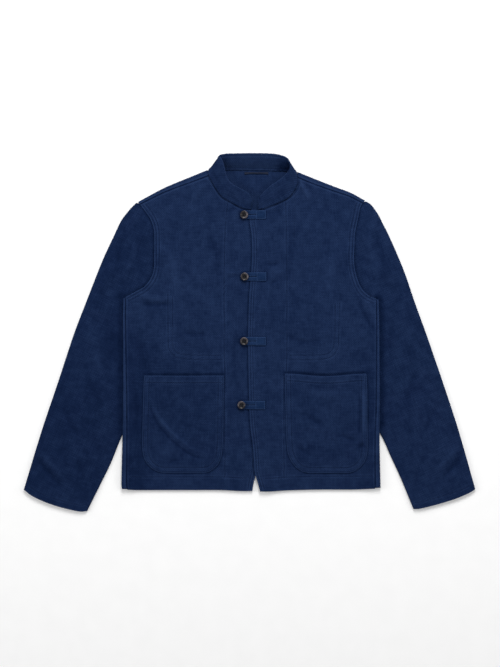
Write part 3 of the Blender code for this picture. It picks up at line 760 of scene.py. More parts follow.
def mouth_line(side):
    low, high = POCKET_OUTLINE[side][0][1:]
    x = np.linspace(low, high, 30)
    return np.stack([x, POCKET_OUTLINE[side][0][0] + mouth_shift(side, x)], axis=-1)


def trim_outlines():
    """Round the four buttons, and round the tabs where they lie on the fronts."""
    angles = np.linspace(0, 2 * math.pi, 25)
    rounds = [np.stack([x + 9.0 * np.cos(angles), y + 9.0 * np.sin(angles)], axis=-1)
              for x, y, _, _ in BUTTON_ROWS]
    half = TAB_WIDTH / 2
    bars = [np.array([(x + 8, y - half), (end, y - half), (end, y + half), (x + 8, y + half)])
            for x, y, _, end in BUTTON_ROWS]
    return rounds, bars


def front_lines(side):
    """The rows of stitches of a front, each a line on the plan."""
    turn = -sign_of(side)
    lines = [beside(FRONT_EDGE[side], turn * 5.0, 3, 3), beside(FRONT_EDGE[side], turn * 9.5, 3, 3)]
    lines += [beside(ARMHOLE[side], turn * 4.0, 4, 2), beside(ARMHOLE[side], turn * 10.5, 8, 2)]
    lines.append(beside(FRONT_NECK[side], turn * 2.6, 12, 2))
    lines.append(beside(FRONT_HEM[side], -turn * HEM_DEPTH, 10, 4))
    lines.append(curve_points(FACING[side], 8))
    lines.append(curve_points(INNER_POCKET[side], 6))
    lines.append(beside(INNER_POCKET[side], turn * 9.0, 2, 2))
    return lines


def front_surface(side, x, y):
    """Height of the middle of a front's cloth, with its creases, turnings and sewn channels."""
    shoulder = distance_to_line(SHOULDER_FOLD[side], x, y)
    flank = distance_to_line(SIDE_FOLD[side], x, y)
    calm = smoothstep(13, 30, np.minimum(shoulder, flank))
    seed = 11 if side == "right" else 12
    detail = crease_height(FRONT_CREASES[side], x, y)
    detail = detail + 0.2 * rumple(x, y, seed) + 0.1 * rumple(x, y, seed + 4, 28)
    detail = detail * calm + np.clip(crease_height(POCKET_CREASES[side], x, y), None, 0) * 0.8
    detail += stitched(front_lines(side), x, y, seed * 100)
    for line, depth in zip(seam_lines(side), (0.5, 0.8)):
        detail -= depth * np.exp(-np.square(nearest_on_line(line, x, y, 10.0)[0] / 1.5))
    low, high = POCKET_OUTLINE[side][0][1:]
    opening = np.sin(math.pi * np.clip((x - low) / (high - low), 0, 1)) ** 0.6
    mouth = nearest_on_line(mouth_line(side) + [0.0, 1.4], x, y, 14.0)[0]
    detail -= (1.9 if side == "left" else 1.2) * opening * np.exp(-np.square(mouth / 3.0))
    hem = distance_to_line(FRONT_HEM[side], x, y)
    detail += 0.4 * smoothstep(HEM_DEPTH + 2.5, HEM_DEPTH + 0.5, hem)
    edge = nearest_on_line(curve_points(FACING[side], 4), x, y, 12.0)[0]
    inside = sign_of(side) * (x - np.interp(y, (-374.0, 216.0), (FACING[side][-1][0], FACING[side][0][0])))
    near_trim = smoothstep(3.0, 0.5, edge * np.sign(inside))
    detail += 0.3 * np.where(edge < 12, near_trim, np.where(inside > 0, 0.0, 1.0))
    return front_height(side, x, y) + detail


def seam_wear_and_shade(lines, x, y, strength=1.0):
    """Rubbed lighter on both sides of each row of stitches, and painted shade darker in the row itself."""
    wear_and_painted_light = np.zeros(np.shape(x))
    for number, line in enumerate(lines):
        distance, place = nearest_on_line(np.asarray(line, float), x, y, 15.0)
        uneven = 0.75 + 0.25 * np.sin(place / 9.0 + number)
        wear_and_painted_light += strength * uneven * (0.26 * np.exp(-np.square((distance - 2.4) / 1.2))
                                     - 0.26 * np.exp(-np.square(distance / 1.2)))
    return wear_and_painted_light


def front_wear_and_shade(side, x, y):
    """How light the cloth is rubbed, with painted shade and painted light laid in: a third of the way is
    plain cloth, and less is darker, as painted shade in a groove.
    """
    lines = [curve_points(table[side], 6) for table in (FRONT_EDGE, FRONT_HEM, ARMHOLE)]
    wear_and_painted_light = np.full(np.shape(x), PLAIN)
    for line in lines:
        wear_and_painted_light += 0.35 * np.exp(-np.square(nearest_on_line(line, x, y, 15.0)[0] / 1.2))
    # Rubbed lighter beside the stitch rows and seams, with painted shade in their grooves.
    wear_and_painted_light += seam_wear_and_shade(front_lines(side), x, y) + seam_shade_and_wear(side, x, y)
    # Painted shadows beside the pocket's edge and along the neck seam.
    neck = curve_points(FRONT_NECK[side], 6)
    wear_and_painted_light += painted_line_shade(pocket_outline(side), x, y, 1.9, 0.34) + painted_line_shade(neck, x, y, 2.0, 0.12)
    # Painted shadow in the gap above the pocket's mouth.
    above = mouth_line(side) + [0.0, 1.6]
    wear_and_painted_light += painted_line_shade(above, x, y, 3.0, 0.85 if side == "left" else 0.7)
    # Painted shadows round the buttons and the tabs.
    rounds, bars = trim_outlines()
    for line in rounds:
        wear_and_painted_light += painted_line_shade(line, x, y, 2.4, 0.4)
    for line in bars:
        wear_and_painted_light += painted_line_shade(line, x, y, 1.9, 0.3)
    # Painted shadow under the edge of the left front, where it lies over the right.
    if side == "right":
        wear_and_painted_light += painted_line_shade(curve_points(FRONT_EDGE["left"], 6), x, y, 2.2, 0.45)
    # Painted shade: the lower sides are darker.
    wear_and_painted_light -= LOWER_SIDE_PAINTED_SHADE[side] * smoothstep(180, 235, np.abs(x)) * smoothstep(-40, -120, y)
    # Painted shade in the creases' troughs and painted light on their ridges.
    return np.clip(wear_and_painted_light + 0.14 * crease_height(FRONT_CREASES[side], x, y), 0, 1)


def front(side):
    flat = front_grid(side)
    x, y = flat[..., 0], flat[..., 1]
    points = np.concatenate([flat, front_surface(side, x, y)[..., None]], axis=-1)
    quads = grid_quads(*x.shape, flip=side == "right")
    return shell("front_cloth_" + side, points.reshape(-1, 3), quads, SHELL, CLOTH_FINISH,
                 flat.reshape(-1, 2), front_wear_and_shade(side, x, y).ravel())


def turned_over(start, fold, inward, width, angles, shares):
    """Points from the panel round its fold and along the turned strip to the seam."""
    points = []
    for angle in angles:
        reach = CLOTH / 2 + FOLD_RADIUS * (1 - math.sin(angle))
        points.append([*(fold + inward * reach), start[2] + FOLD_RADIUS * (1 - math.cos(angle))])
    begin = CLOTH / 2 + FOLD_RADIUS
    for share in shares:
        reach = begin + (width - begin) * share
        points.append([*(fold + inward * reach), start[2] + 2 * FOLD_RADIUS])
    return points


def back_surface(side, x, y):
    detail = np.clip(crease_height(BACK_CREASES, x, y) + 0.25 * rumple(x, y, 21), 0, None)
    seam = np.abs(x - np.interp(y, [p[1] for p in BACK_CENTRE], [p[0] for p in BACK_CENTRE]))
    detail += 0.35 * smoothstep(13, 9, seam) - 0.3 * np.exp(-np.square((seam - 6.5) / 1.6))
    hem = distance_to_line(BACK_HEM[side], x, y)
    detail += 0.4 * smoothstep(HEM_DEPTH + 3, HEM_DEPTH + 0.5, hem)
    return np.maximum(back_height(side, x, y) + detail, SHELL / 2 + 0.02)


def back(side):
    low, high, neck_shares, shoulder_shares = panel_shares(BACK_STEP)
    half_gap = np.array([sign_of(side) * -0.3, 0.0])
    turn_in = FOLD_RADIUS + CLOTH / 2
    shoulder_fold, shoulder_in, shoulder_width = shoulder_turn(side, shoulder_shares)
    side_fold, side_in, side_width = side_turn(side, low)
    up = np.concatenate([low * UNDERARM, UNDERARM + (1 - UNDERARM) * high[1:]])
    across = np.concatenate([neck_shares * NECK_SHARE, NECK_SHARE + (1 - NECK_SHARE) * shoulder_shares[1:]])
    top = np.vstack([along(BACK_NECK[side], neck_shares)[:-1], shoulder_fold + shoulder_in * turn_in])
    armhole = along(tuple(reversed(ARMHOLE[side])), high)[1:]
    right = np.vstack([side_fold + side_in * turn_in, armhole])
    right[-1] = top[-1]
    left = along(BACK_CENTRE, up) + half_gap
    bottom = along(BACK_HEM[side], across)
    bottom[0] = left[0]
    bottom[-1] = right[0]
    top[0] = left[-1]
    flat = patch(left, right, bottom, top, across, up)
    middle = np.concatenate([flat, back_surface(side, flat[..., 0], flat[..., 1])[..., None]], axis=-1)
    rows, columns = flat.shape[:2]
    neck = len(neck_shares) - 1
    angles = np.radians(np.arange(15, 181, 15))
    shares = np.linspace(0, 1, 10)[1:]
    extra = len(angles) + len(shares)
    points = np.zeros((rows + extra, columns + extra, 3))
    points[:rows, :columns] = middle
    for row in range(len(low)):
        points[row, columns:] = turned_over(middle[row, -1], side_fold[row], side_in[row],
                                            side_width[row], angles, shares)
    for at in range(len(shoulder_shares)):
        points[rows:, neck + at] = turned_over(middle[-1, neck + at], shoulder_fold[at], shoulder_in[at],
                                               shoulder_width[at], angles, shares)

    def keep(row, column):
        strip = (column < columns - 1) | (row < len(low) - 1)
        band = (row < rows - 1) | (column >= neck)
        corner = (column < columns - 1) | (row < rows - 1)
        return strip & band & corner

    quads = grid_quads(*points.shape[:2], keep, flip=side == "left")
    spread = points.reshape(-1, 3)
    wear_and_painted_light = np.full(points.shape[:2], PLAIN)
    wear_and_painted_light[:, columns:] += 0.06
    wear_and_painted_light[rows:] += 0.06
    strips = np.zeros(points.shape[:2], bool)
    strips[:, columns:] = True
    strips[rows:] = True
    # Painted shade in the seams' grooves, with the cloth rubbed lighter beside them, on the turned strips.
    wear_and_painted_light += np.where(strips, seam_shade_and_wear(side, points[..., 0], points[..., 1]), 0.0)
    # Painted shadows under the hanger loop and along the collar's seam.
    loop_shadow_line = np.array([(HANGER_X[0] - 4, 268.0), (11.5, 264.0), (HANGER_X[1] + 8, 268.0)])
    wear_and_painted_light += painted_line_shade(loop_shadow_line, points[..., 0], points[..., 1], 6.5, 0.5)
    wear_and_painted_light += painted_line_shade(curve_points(BACK_NECK[side], 6), points[..., 0], points[..., 1], 3.0, 0.3)
    # Painted light: the back is lighter inside the neck.
    wear_and_painted_light += 0.1 * smoothstep(150, 190, points[..., 1]) * smoothstep(100, 60, np.abs(points[..., 0]))
    # Painted shadows in the collar's inner corner and in the V between its front ends.
    for place, depth in ((COLLAR_CORNER_SHADOW, 0.75), (COLLAR_MOUTH_SHADOW, 0.45)):
        wear_and_painted_light -= depth * painted_light_patch(points[..., 0], points[..., 1], place)
    return shell("back_cloth_" + side, spread, quads, SHELL, CLOTH_FINISH, spread[:, :2] + [37.0, 11.0],
                 np.clip(wear_and_painted_light, 0, 1).ravel())


def sleeve_head_line(side):
    """The sleeve's upper edge as many short spans: beside the armhole, then under the body."""
    seam = along(ARMHOLE[side], np.linspace(0, 1, 120))
    seam[:, 0] += sign_of(side) * SLEEVE_GAP * 0.3
    turning_y = SLEEVE_HIDDEN_HEAD[side][0][1]
    beside_body = seam[1:][seam[1:, 1] > turning_y + 8]
    hidden = along(SLEEVE_HIDDEN_HEAD[side], np.linspace(0, 1, 60))[1:]
    return np.vstack([SLEEVE_OUTER[side][0], beside_body, hidden])


def sleeve_lines(side):
    """The two seams' stitches aren't seen from here, so the cuff's row is the only one."""
    turn = -sign_of(side)
    return [beside(CUFF[side], turn * CUFF_HEM, 4, 4)]


def sleeve_detail(side, x, y):
    seed = 31 if side == "right" else 32
    outer = distance_to_line(SLEEVE_OUTER[side], x, y)
    inner = distance_to_line(SLEEVE_INNER[side], x, y)
    calm = smoothstep(1, 14, np.minimum(outer, inner))
    detail = crease_height(SLEEVE_CREASES[side], x, y)
    detail = detail + 0.3 * rumple(x, y, seed) + 0.12 * rumple(x, y, seed + 4, 28)
    detail = detail * calm + stitched(sleeve_lines(side), x, y, seed * 100)
    cuff = distance_to_line(CUFF[side], x, y)
    return detail + 0.35 * calm * smoothstep(CUFF_HEM + 2.5, CUFF_HEM + 0.5, cuff)


def sleeve_top(side, x, y):
    """Height of the middle of the sleeve's upper layer, which goes under the edge of the front."""
    height = sleeve_height(side, x, y) + sleeve_detail(side, x, y)
    seam = distance_to_line(ARMHOLE[side], x, y)
    over = smoothstep(1.5, 11.0, seam)
    under_front = np.minimum(height, front_height(side, x, y) - 1.5)
    beside_body = smoothstep(50, 75, y)
    return height + (1 - over) * beside_body * (under_front - height)


def sleeve(side):
    head = sleeve_head_line(side)
    length = lengths_of(head)
    across = np.linspace(0, 1, 161)
    top = np.stack([np.interp(across * length[-1], length, head[:, axis]) for axis in range(2)], axis=-1)
    down = spaced(640.0, ((14, 1.6), (-34, SLEEVE_STEP), (640, 1.9)))
    lines = patch(along(SLEEVE_OUTER[side], down), along(SLEEVE_INNER[side], down), top,
                  along(CUFF[side], across), across, down)
    arcs = np.radians(np.linspace(0, 180, 11))
    upper = spaced(190.0, ((190, SLEEVE_STEP * 0.82),))
    lower = np.linspace(0, 1, int(50 / COARSE))
    rings = []
    turns = []
    for line in lines:
        run = lengths_of(line)
        edge = np.array([line[0], line[-1]])
        radius = (sleeve_height(side, edge[:, 0], edge[:, 1]) - FLOOR_Z) / 2
        first = CLOTH / 2 + radius[0]
        last = run[-1] - CLOTH / 2 - radius[1]
        reach = np.concatenate([first - radius[0] * np.sin(arcs), first + (last - first) * upper[1:-1],
                                last + radius[1] * np.sin(arcs), last + (first - last) * lower[1:-1]])
        z = np.concatenate([FLOOR_Z + radius[0] * (1 - np.cos(arcs)), np.full(len(upper) - 2, -1.0),
                            FLOOR_Z + radius[1] * (1 + np.cos(arcs)), np.full(len(lower) - 2, FLOOR_Z)])
        plan = [np.interp(reach, run, line[:, axis]) for axis in range(2)]
        rings.append(np.stack([*plan, z], axis=-1))
        turns.append(np.cumsum(np.concatenate([[0], np.hypot(np.diff(reach), np.diff(np.maximum(z, 0)))])))
    points = np.array(rings)
    raised = slice(len(arcs), len(arcs) + len(upper) - 2)
    layer = points[:, raised]
    layer[..., 2] = sleeve_top(side, layer[..., 0], layer[..., 1])
    seam = distance_to_line(ARMHOLE[side], layer[..., 0], layer[..., 1])
    layer[..., 0] -= sign_of(side) * TUCK * smoothstep(9, 0, seam) * smoothstep(50, 75, layer[..., 1])
    points[:, raised] = layer
    rows, around = points.shape[:2]
    row, column = np.meshgrid(np.arange(rows - 1), np.arange(around), indexing="ij")
    after = (column + 1) % around
    quads = np.stack([row * around + column, row * around + after,
                      (row + 1) * around + after, (row + 1) * around + column], axis=-1).reshape(-1, 4)
    if side == "right":
        quads = quads[:, ::-1]
    angle = math.radians(22.0) * sign_of(side)
    x, y = points[..., 0], points[..., 1]
    cloth_at = np.stack([x * math.cos(angle) + y * math.sin(angle),
                         y * math.cos(angle) - x * math.sin(angle)], axis=-1)
    # Painted shade: the whole sleeve is darker by its tone. The cuff's edge is rubbed lighter.
    wear_and_painted_light = PLAIN - SLEEVE_PAINTED_SHADE[side] + 0.3 * np.exp(-np.square(distance_to_line(CUFF[side], x, y) / 1.6))
    # Painted shade in the creases' troughs and painted light on their ridges.
    wear_and_painted_light += seam_wear_and_shade(sleeve_lines(side), x, y, 0.7) + 0.14 * crease_height(SLEEVE_CREASES[side], x, y)
    # Painted shadow on the sleeve beside the armhole, under the body's edge.
    wear_and_painted_light -= 0.24 * np.exp(-np.square(distance_to_line(ARMHOLE[side], x, y) / 3.6)) * smoothstep(0, 30, y)
    # Painted shadow in an uneven band beside the body's side fold, where the body lies over the sleeve.
    uneven = 0.8 + 0.3 * np.sin(y / 31.0 + 1.3) * np.sin(y / 12.0)
    wear_and_painted_light -= 0.5 * uneven * np.exp(-np.square(distance_to_line(SIDE_FOLD[side], x, y) / 9.0))
    return shell("sleeve_cloth_" + side, points.reshape(-1, 3), quads, SHELL, CLOTH_FINISH,
                 cloth_at.reshape(-1, 2), np.clip(wear_and_painted_light, 0, 1).ravel())


def pocket_outline(side):
    """The pocket's edge as one line, from its upper left corner down and round."""
    table = along(POCKET_OUTLINE[side], np.linspace(0, 1, 60))
    outline = np.vstack([table[:, [1, 0]], table[::-1][:, [2, 0]]])
    outline[:, 1] += mouth_shift(side, outline[:, 0]) * smoothstep(-200, -158, outline[:, 1])
    return outline


def pocket_lines(side):
    outline = pocket_outline(side)
    inner = []
    for offset in (2.4, 11.5):
        middle = np.array([(outline[:, 0].min() + outline[:, 0].max()) / 2, -262.0])
        tangent = unit(np.gradient(outline, axis=0))
        square = np.stack([-tangent[:, 1], tangent[:, 0]], axis=-1)
        turned = np.sign((square * (middle - outline)).sum(axis=1, keepdims=True))
        line = outline + square * turned * offset
        inner.append(line[(line[:, 1] < outline[0, 1] - 2.0)])
    inner.append(mouth_line(side)[1:-1] - [0.0, POCKET_HEM])
    return inner


def pocket_surface(side, x, y):
    """Height of the middle of a pocket's cloth, on the front at its sewn edge and a little clear inside."""
    seed = 41 if side == "right" else 42
    edge = nearest_on_line(pocket_outline(side), x, y)[0]
    mouth_y = POCKET_OUTLINE[side][0][0]
    ease = smoothstep(2, 26, edge)
    low, high = POCKET_OUTLINE[side][0][1:]
    share = np.clip((x - low) / (high - low), 0, 1)
    mouth = smoothstep(-200, -158, y) * np.sin(math.pi * share) ** 2
    base = front_height(side, x, y) + SHELL + 0.15 + 0.75 * ease + 0.6 * POCKET_SAG[side] * mouth
    detail = crease_height(POCKET_CREASES[side], x, y)
    detail = detail + 0.22 * rumple(x, y, seed) + 0.12 * rumple(x, y, seed + 4, 24)
    detail = detail * smoothstep(0, 12, edge) + stitched(pocket_lines(side), x, y, seed * 100, 0.4)
    hem_y = mouth_y + mouth_shift(side, x) - POCKET_HEM
    detail += 0.45 * smoothstep(-1.8, 0.2, y - hem_y)
    return base + detail


def pocket(side):
    down = spaced(232.0, ((20, 1.2), (-10, PANEL_STEP), (232, 1.6)))
    table = along(POCKET_OUTLINE[side], down)
    u = spaced(168.0, ((13, 1.3), (-13, PANEL_STEP), (168, 1.3)))
    x = table[:, 1, None] + (table[:, 2] - table[:, 1])[:, None] * u
    y = np.repeat(table[:, :1], len(u), axis=1)
    y = y + mouth_shift(side, x) * smoothstep(-200, -158, y)
    z = pocket_surface(side, x, y)
    points = np.stack([x, y, z], axis=-1).reshape(-1, 3)
    edge = nearest_on_line(pocket_outline(side), x, y)[0]
    # Painted shade: the pocket is darker by its tone. Its edge is rubbed lighter.
    wear_and_painted_light = PLAIN - POCKET_PAINTED_SHADE[side] + 0.32 * np.exp(-np.square(edge / 1.7))
    below_mouth = y - y[0]
    wear_and_painted_light += 0.3 * np.exp(-np.square(below_mouth / 1.6))
    wear_and_painted_light += 0.08 * smoothstep(-POCKET_HEM - 1, -POCKET_HEM + 1, below_mouth)
    # Painted shade in the creases' troughs and painted light on their ridges.
    wear_and_painted_light += seam_wear_and_shade(pocket_lines(side), x, y) + 0.16 * crease_height(POCKET_CREASES[side], x, y)
    return shell("pocket_cloth_" + side, points, grid_quads(*x.shape, flip=True), SHELL, CLOTH_FINISH,
                 points[:, :2] + [13.0, 7.0], np.clip(wear_and_painted_light, 0, 1).ravel())


def collar_point(station, v):
    """Middle of the collar at a share of the way round the neck, and v up from the seam to its free edge."""
    table = along(COLLAR_STATIONS, station)
    seam = table[..., [0, 1, 4]]
    free = table[..., [2, 3, 5]]
    point = seam + (free - seam) * v[..., None]
    point[..., 2] += 1.2 * np.sin(math.pi * v)
    return point


def collar():
    shares = np.linspace(0, 1, int(320 / COARSE))
    v = spaced(34.0, ((34, 1.3),))
    station, rise = np.meshgrid(shares, v)
    points = collar_point(station, rise)
    length = 480.0
    ripple = 0.3 * rumple(station * length, rise * 34, 51, 40)
    for at in (0.1, 0.87):
        ripple -= 0.45 * np.exp(-np.square((rise - at) * 34 / 2.0))
    ripple += pucker((1 - rise) * 34, station * length, 52, 7.0, 0.35)
    ripple += pucker(rise * 34, station * length, 53, 7.0, 0.35)
    outward = unit((points[0] - points[-1]) * [1.0, 1.0, 0.0])
    points += outward[None] * 1.7 * smoothstep(0.14, 0.0, rise)[..., None]
    quads = grid_quads(*station.shape)
    spread = points.reshape(-1, 3)
    spread = spread + vertex_normals(spread, quads) * ripple.reshape(-1, 1)
    wear_and_painted_light = PLAIN + 0.55 * np.exp(-np.square((1 - rise) * 34 / 1.5))
    # Rows of stitches: rubbed lighter beside each, with painted shade in the row.
    for at in (0.1, 0.87):
        off = np.abs(rise - at) * 34
        wear_and_painted_light += 0.25 * np.exp(-np.square((off - 2.2) / 1.2)) - 0.25 * np.exp(-np.square(off / 1.2))
    x, y = points[..., 0], points[..., 1]
    # Painted shadow in the collar's inner corner.
    wear_and_painted_light -= 0.85 * painted_light_patch(x, y, COLLAR_CORNER_SHADOW) * smoothstep(-0.2, 0.3, y - 258.0)
    # Painted light: the collar's back is lighter near its middle.
    wear_and_painted_light += 0.2 * smoothstep(240, 256, y) * smoothstep(60, 40, np.abs(x - 5))
    # Painted shade: the front part of the collar's left half is darker, and the whole collar a little darker.
    wear_and_painted_light -= 0.2 * smoothstep(20, 50, x) * smoothstep(262, 250, y) + 0.04
    # Painted shadow along the gap between the collar's front ends, with a painted light patch beside it.
    wear_and_painted_light += painted_line_shade(COLLAR_GAP_SHADOW, x, y, 3.2, 1.0) + 0.2 * painted_light_patch(x, y, (31.0, 213.0, 11.0, 9.0))
    # Painted highlights along the rims of the collar's front ends.
    for rim in COLLAR_RIM_HIGHLIGHTS:
        wear_and_painted_light -= painted_line_shade(rim, x, y, 1.8, 0.4)
    cloth_at = np.stack([station.ravel() * length, rise.ravel() * 34], axis=-1)
    return shell("collar_cloth", spread, quads, COLLAR_THICK - 0.2, CLOTH_FINISH, cloth_at,
                 np.clip(wear_and_painted_light, 0, 1).ravel())


def hanger():
    lengths = np.linspace(HANGER_X[0], HANGER_X[1], 61)
    widths = np.linspace(HANGER_Y[0], HANGER_Y[1], 9)
    x, y = np.meshgrid(lengths, widths)
    share = (x - HANGER_X[0]) / (HANGER_X[1] - HANGER_X[0])
    across = (y - HANGER_Y[0]) / (HANGER_Y[1] - HANGER_Y[0])
    arch = np.sin(math.pi * share) ** 2
    z = FLOOR_Z + STACK + 1.2 * arch + 0.35 * arch * np.sin(2 * math.pi * (across - 0.2))
    for sewn_at in (0.07, 0.93):
        z -= 0.35 * np.exp(-np.square((share - sewn_at) * 50 / 1.2))
    from_middle = np.abs(2 * share - 1)
    y = 268.5 - (across * 5.4 + 1.2) * (0.55 + 0.45 * from_middle ** 3) + 1.2 * from_middle ** 2
    points = np.stack([x, y, z], axis=-1)[::-1].reshape(-1, 3)
    return shell("hanger_tape", points, grid_quads(*x.shape), 1.3, TAPE_FINISH, points[:, :2])


def stitches(name, lines, finish, pitch=STITCH_PITCH, size=STITCH_LENGTH, radius=STITCH_RADIUS, seed=1):
    """Separate short threads along lines of (point, up) pairs, each dipping into the cloth at its ends."""
    source = np.random.default_rng(seed)
    verts = []
    faces = []
    sides = np.radians((0, 90, 180, 270))
    profile = ((-0.5, -0.30, 0.55), (-0.3, 0.08, 1.0), (0.3, 0.08, 1.0), (0.5, -0.30, 0.55))
    for line, up in lines:
        length = lengths_of(line)
        count = int(length[-1] / pitch)
        if count < 1:
            continue
        centres = (np.arange(count) + 0.5) * length[-1] / count
        for centre in centres:
            ends = np.clip([centre - size / 2, centre + size / 2], 0, length[-1])
            start, end = (np.array([np.interp(at, length, line[:, axis]) for axis in range(3)])
                          for at in ends)
            normal = unit(np.array([np.interp(centre, length, up[:, axis]) for axis in range(3)]))
            run = end - start
            along_thread = unit(run)
            aside = unit(np.cross(normal, along_thread))
            skew = aside * source.normal(0, 0.12)
            middle = (start + end) / 2
            first = len(verts)
            for at, rise, girth in profile:
                ring = middle + run * at + skew * (2 * at) + normal * rise
                for angle in sides:
                    verts.append(ring + radius * girth * (aside * math.cos(angle) + normal * math.sin(angle)))
            for ring in range(len(profile) - 1):
                low = first + ring * 4
                for corner in range(4):
                    after = (corner + 1) % 4
                    faces.append((low + corner, low + after, low + 4 + after, low + 4 + corner))
            top = first + (len(profile) - 1) * 4
            faces.append((first + 3, first + 2, first + 1, first))
            faces.append((top, top + 1, top + 2, top + 3))
    return mesh_piece(name, np.array(verts), faces, finish)


def laid_on(surface, side, lines):
    """Each plan line lifted on to the outer face of a surface, with the face's direction."""
    made = []
    for line in lines:
        line = np.asarray(line, float)
        length = lengths_of(line)
        count = max(2, int(length[-1] / 2.0))
        at = np.linspace(0, length[-1], count)
        x = np.interp(at, length, line[:, 0])
        y = np.interp(at, length, line[:, 1])
        z = surface(side, x, y) + SHELL / 2 + 0.12
        up = np.tile([0.0, 0.0, 1.0], (count, 1))
        made.append((np.stack([x, y, z], axis=-1), up))
    return made


def tab(index, x, y, edge, end):
    """A folded strip round the button's shank, its two ends under a stitched square."""
    half = TAB_WIDTH / 2
    stitched_x = end - 20.0
    outer = ((stitched_x + 1, half), (x + 6, half * 0.98), (x + 1, half * 0.94), (x - 4.6, 6.4), (x - 7.1, 3),
             (x - 7.6, 0))
    inner = ((stitched_x + 1, 0.7), (x + 6.5, 0.8), (x + 3.4, 1.4), (x, 2.4), (x - 1.6, 1.6), (x - 2.2, 0))
    shares = spaced(100.0, ((100, 1.0),))
    v = np.linspace(0, 1, 11)
    both = []
    for points in (inner, outer):
        mirrored = tuple((at_x, -at_y) for at_x, at_y in points[-2::-1])
        both.append(along(points + mirrored, shares))
    flat = both[0][None] + (both[1] - both[0])[None] * v[:, None, None]
    under = float(front_height("right", np.array(x), np.array(y))) + STACK + TRIM_GAP

    def level(at_x, at_y):
        plan_x, plan_y = np.broadcast_arrays(np.maximum(at_x, edge + 0.5), y + at_y)
        over = front_height("left", plan_x, plan_y) + STACK + TRIM_GAP
        return under + (over - under) * smoothstep(edge - 8.5, edge - 0.5, at_x)

    pillow = 0.5 * (1 - np.square(2 * v - 1))[:, None]
    z = level(flat[..., 0], flat[..., 1]) + pillow - 0.3
    z -= 0.3 * smoothstep(stitched_x - 2, stitched_x + 1, flat[..., 0])
    strip = np.stack([flat[..., 0], y + flat[..., 1], z], axis=-1)
    columns = spaced(20.0, ((20, 0.8),))
    rows = np.linspace(-1, 1, 25)
    square_x, square_y = np.meshgrid(stitched_x + columns * 20.0, rows * (half + 0.1))
    inset = np.minimum.reduce([square_x - stitched_x, end - square_x, half - np.abs(square_y)])
    square_z = level(square_x, square_y) + 0.25 + 0.45 * smoothstep(0, 3.5, inset)
    square_z -= 0.35 * np.exp(-np.square((inset - 1.7) / 0.9))
    square_z -= 0.16 * np.exp(-np.square(square_y / 1.2)) * smoothstep(14, 4, square_x - stitched_x)
    square = np.stack([square_x, y + square_y, square_z], axis=-1)
    strip_points = strip.reshape(-1, 3)
    square_points = square.reshape(-1, 3)
    strip_quads = grid_quads(*strip.shape[:2], flip=True)
    quads = np.vstack([strip_quads, grid_quads(*square.shape[:2]) + len(strip_points)])
    points = np.vstack([strip_points, square_points])
    wear_and_painted_light = np.concatenate([np.repeat(0.15 + 0.5 * np.abs(2 * v - 1) ** 3, len(shares)),
                           (0.15 + 0.6 * smoothstep(2.6, 0.4, inset)).ravel()])
    piece = shell(f"tab_cloth_{index}", points, quads, 1.3, TAB_FINISH, points[:, [1, 0]], wear_and_painted_light)
    up = [0.0, 0.0, 1.0]
    lines = []
    for turn in (1, -1):
        at_x = np.linspace(x + 8, stitched_x, 12)
        for off in (half - 1.6, 2.4):
            height = level(at_x, turn * off) + 0.62
            line = np.stack([at_x, np.full(12, y + turn * off), height], axis=-1)
            lines.append((line, np.tile(up, (12, 1))))
    low_x, high_x, reach = stitched_x + 1.7, end - 1.7, half - 1.7
    corners = ((low_x, -reach), (high_x, -reach), (high_x, reach), (low_x, reach), (low_x, -reach))
    for start, stop in zip(corners[:-1], corners[1:]):
        share = np.linspace(0, 1, 8)
        at_x = start[0] + (stop[0] - start[0]) * share
        at_y = start[1] + (stop[1] - start[1]) * share
        lines.append((np.stack([at_x, y + at_y, level(at_x, at_y) + 1.05], axis=-1), np.tile(up, (8, 1))))
    sewing = stitches(f"tab_stitches_{index}", lines, THREAD_FINISH, 2.4, 1.8, 0.32, 60 + index)
    return piece, sewing


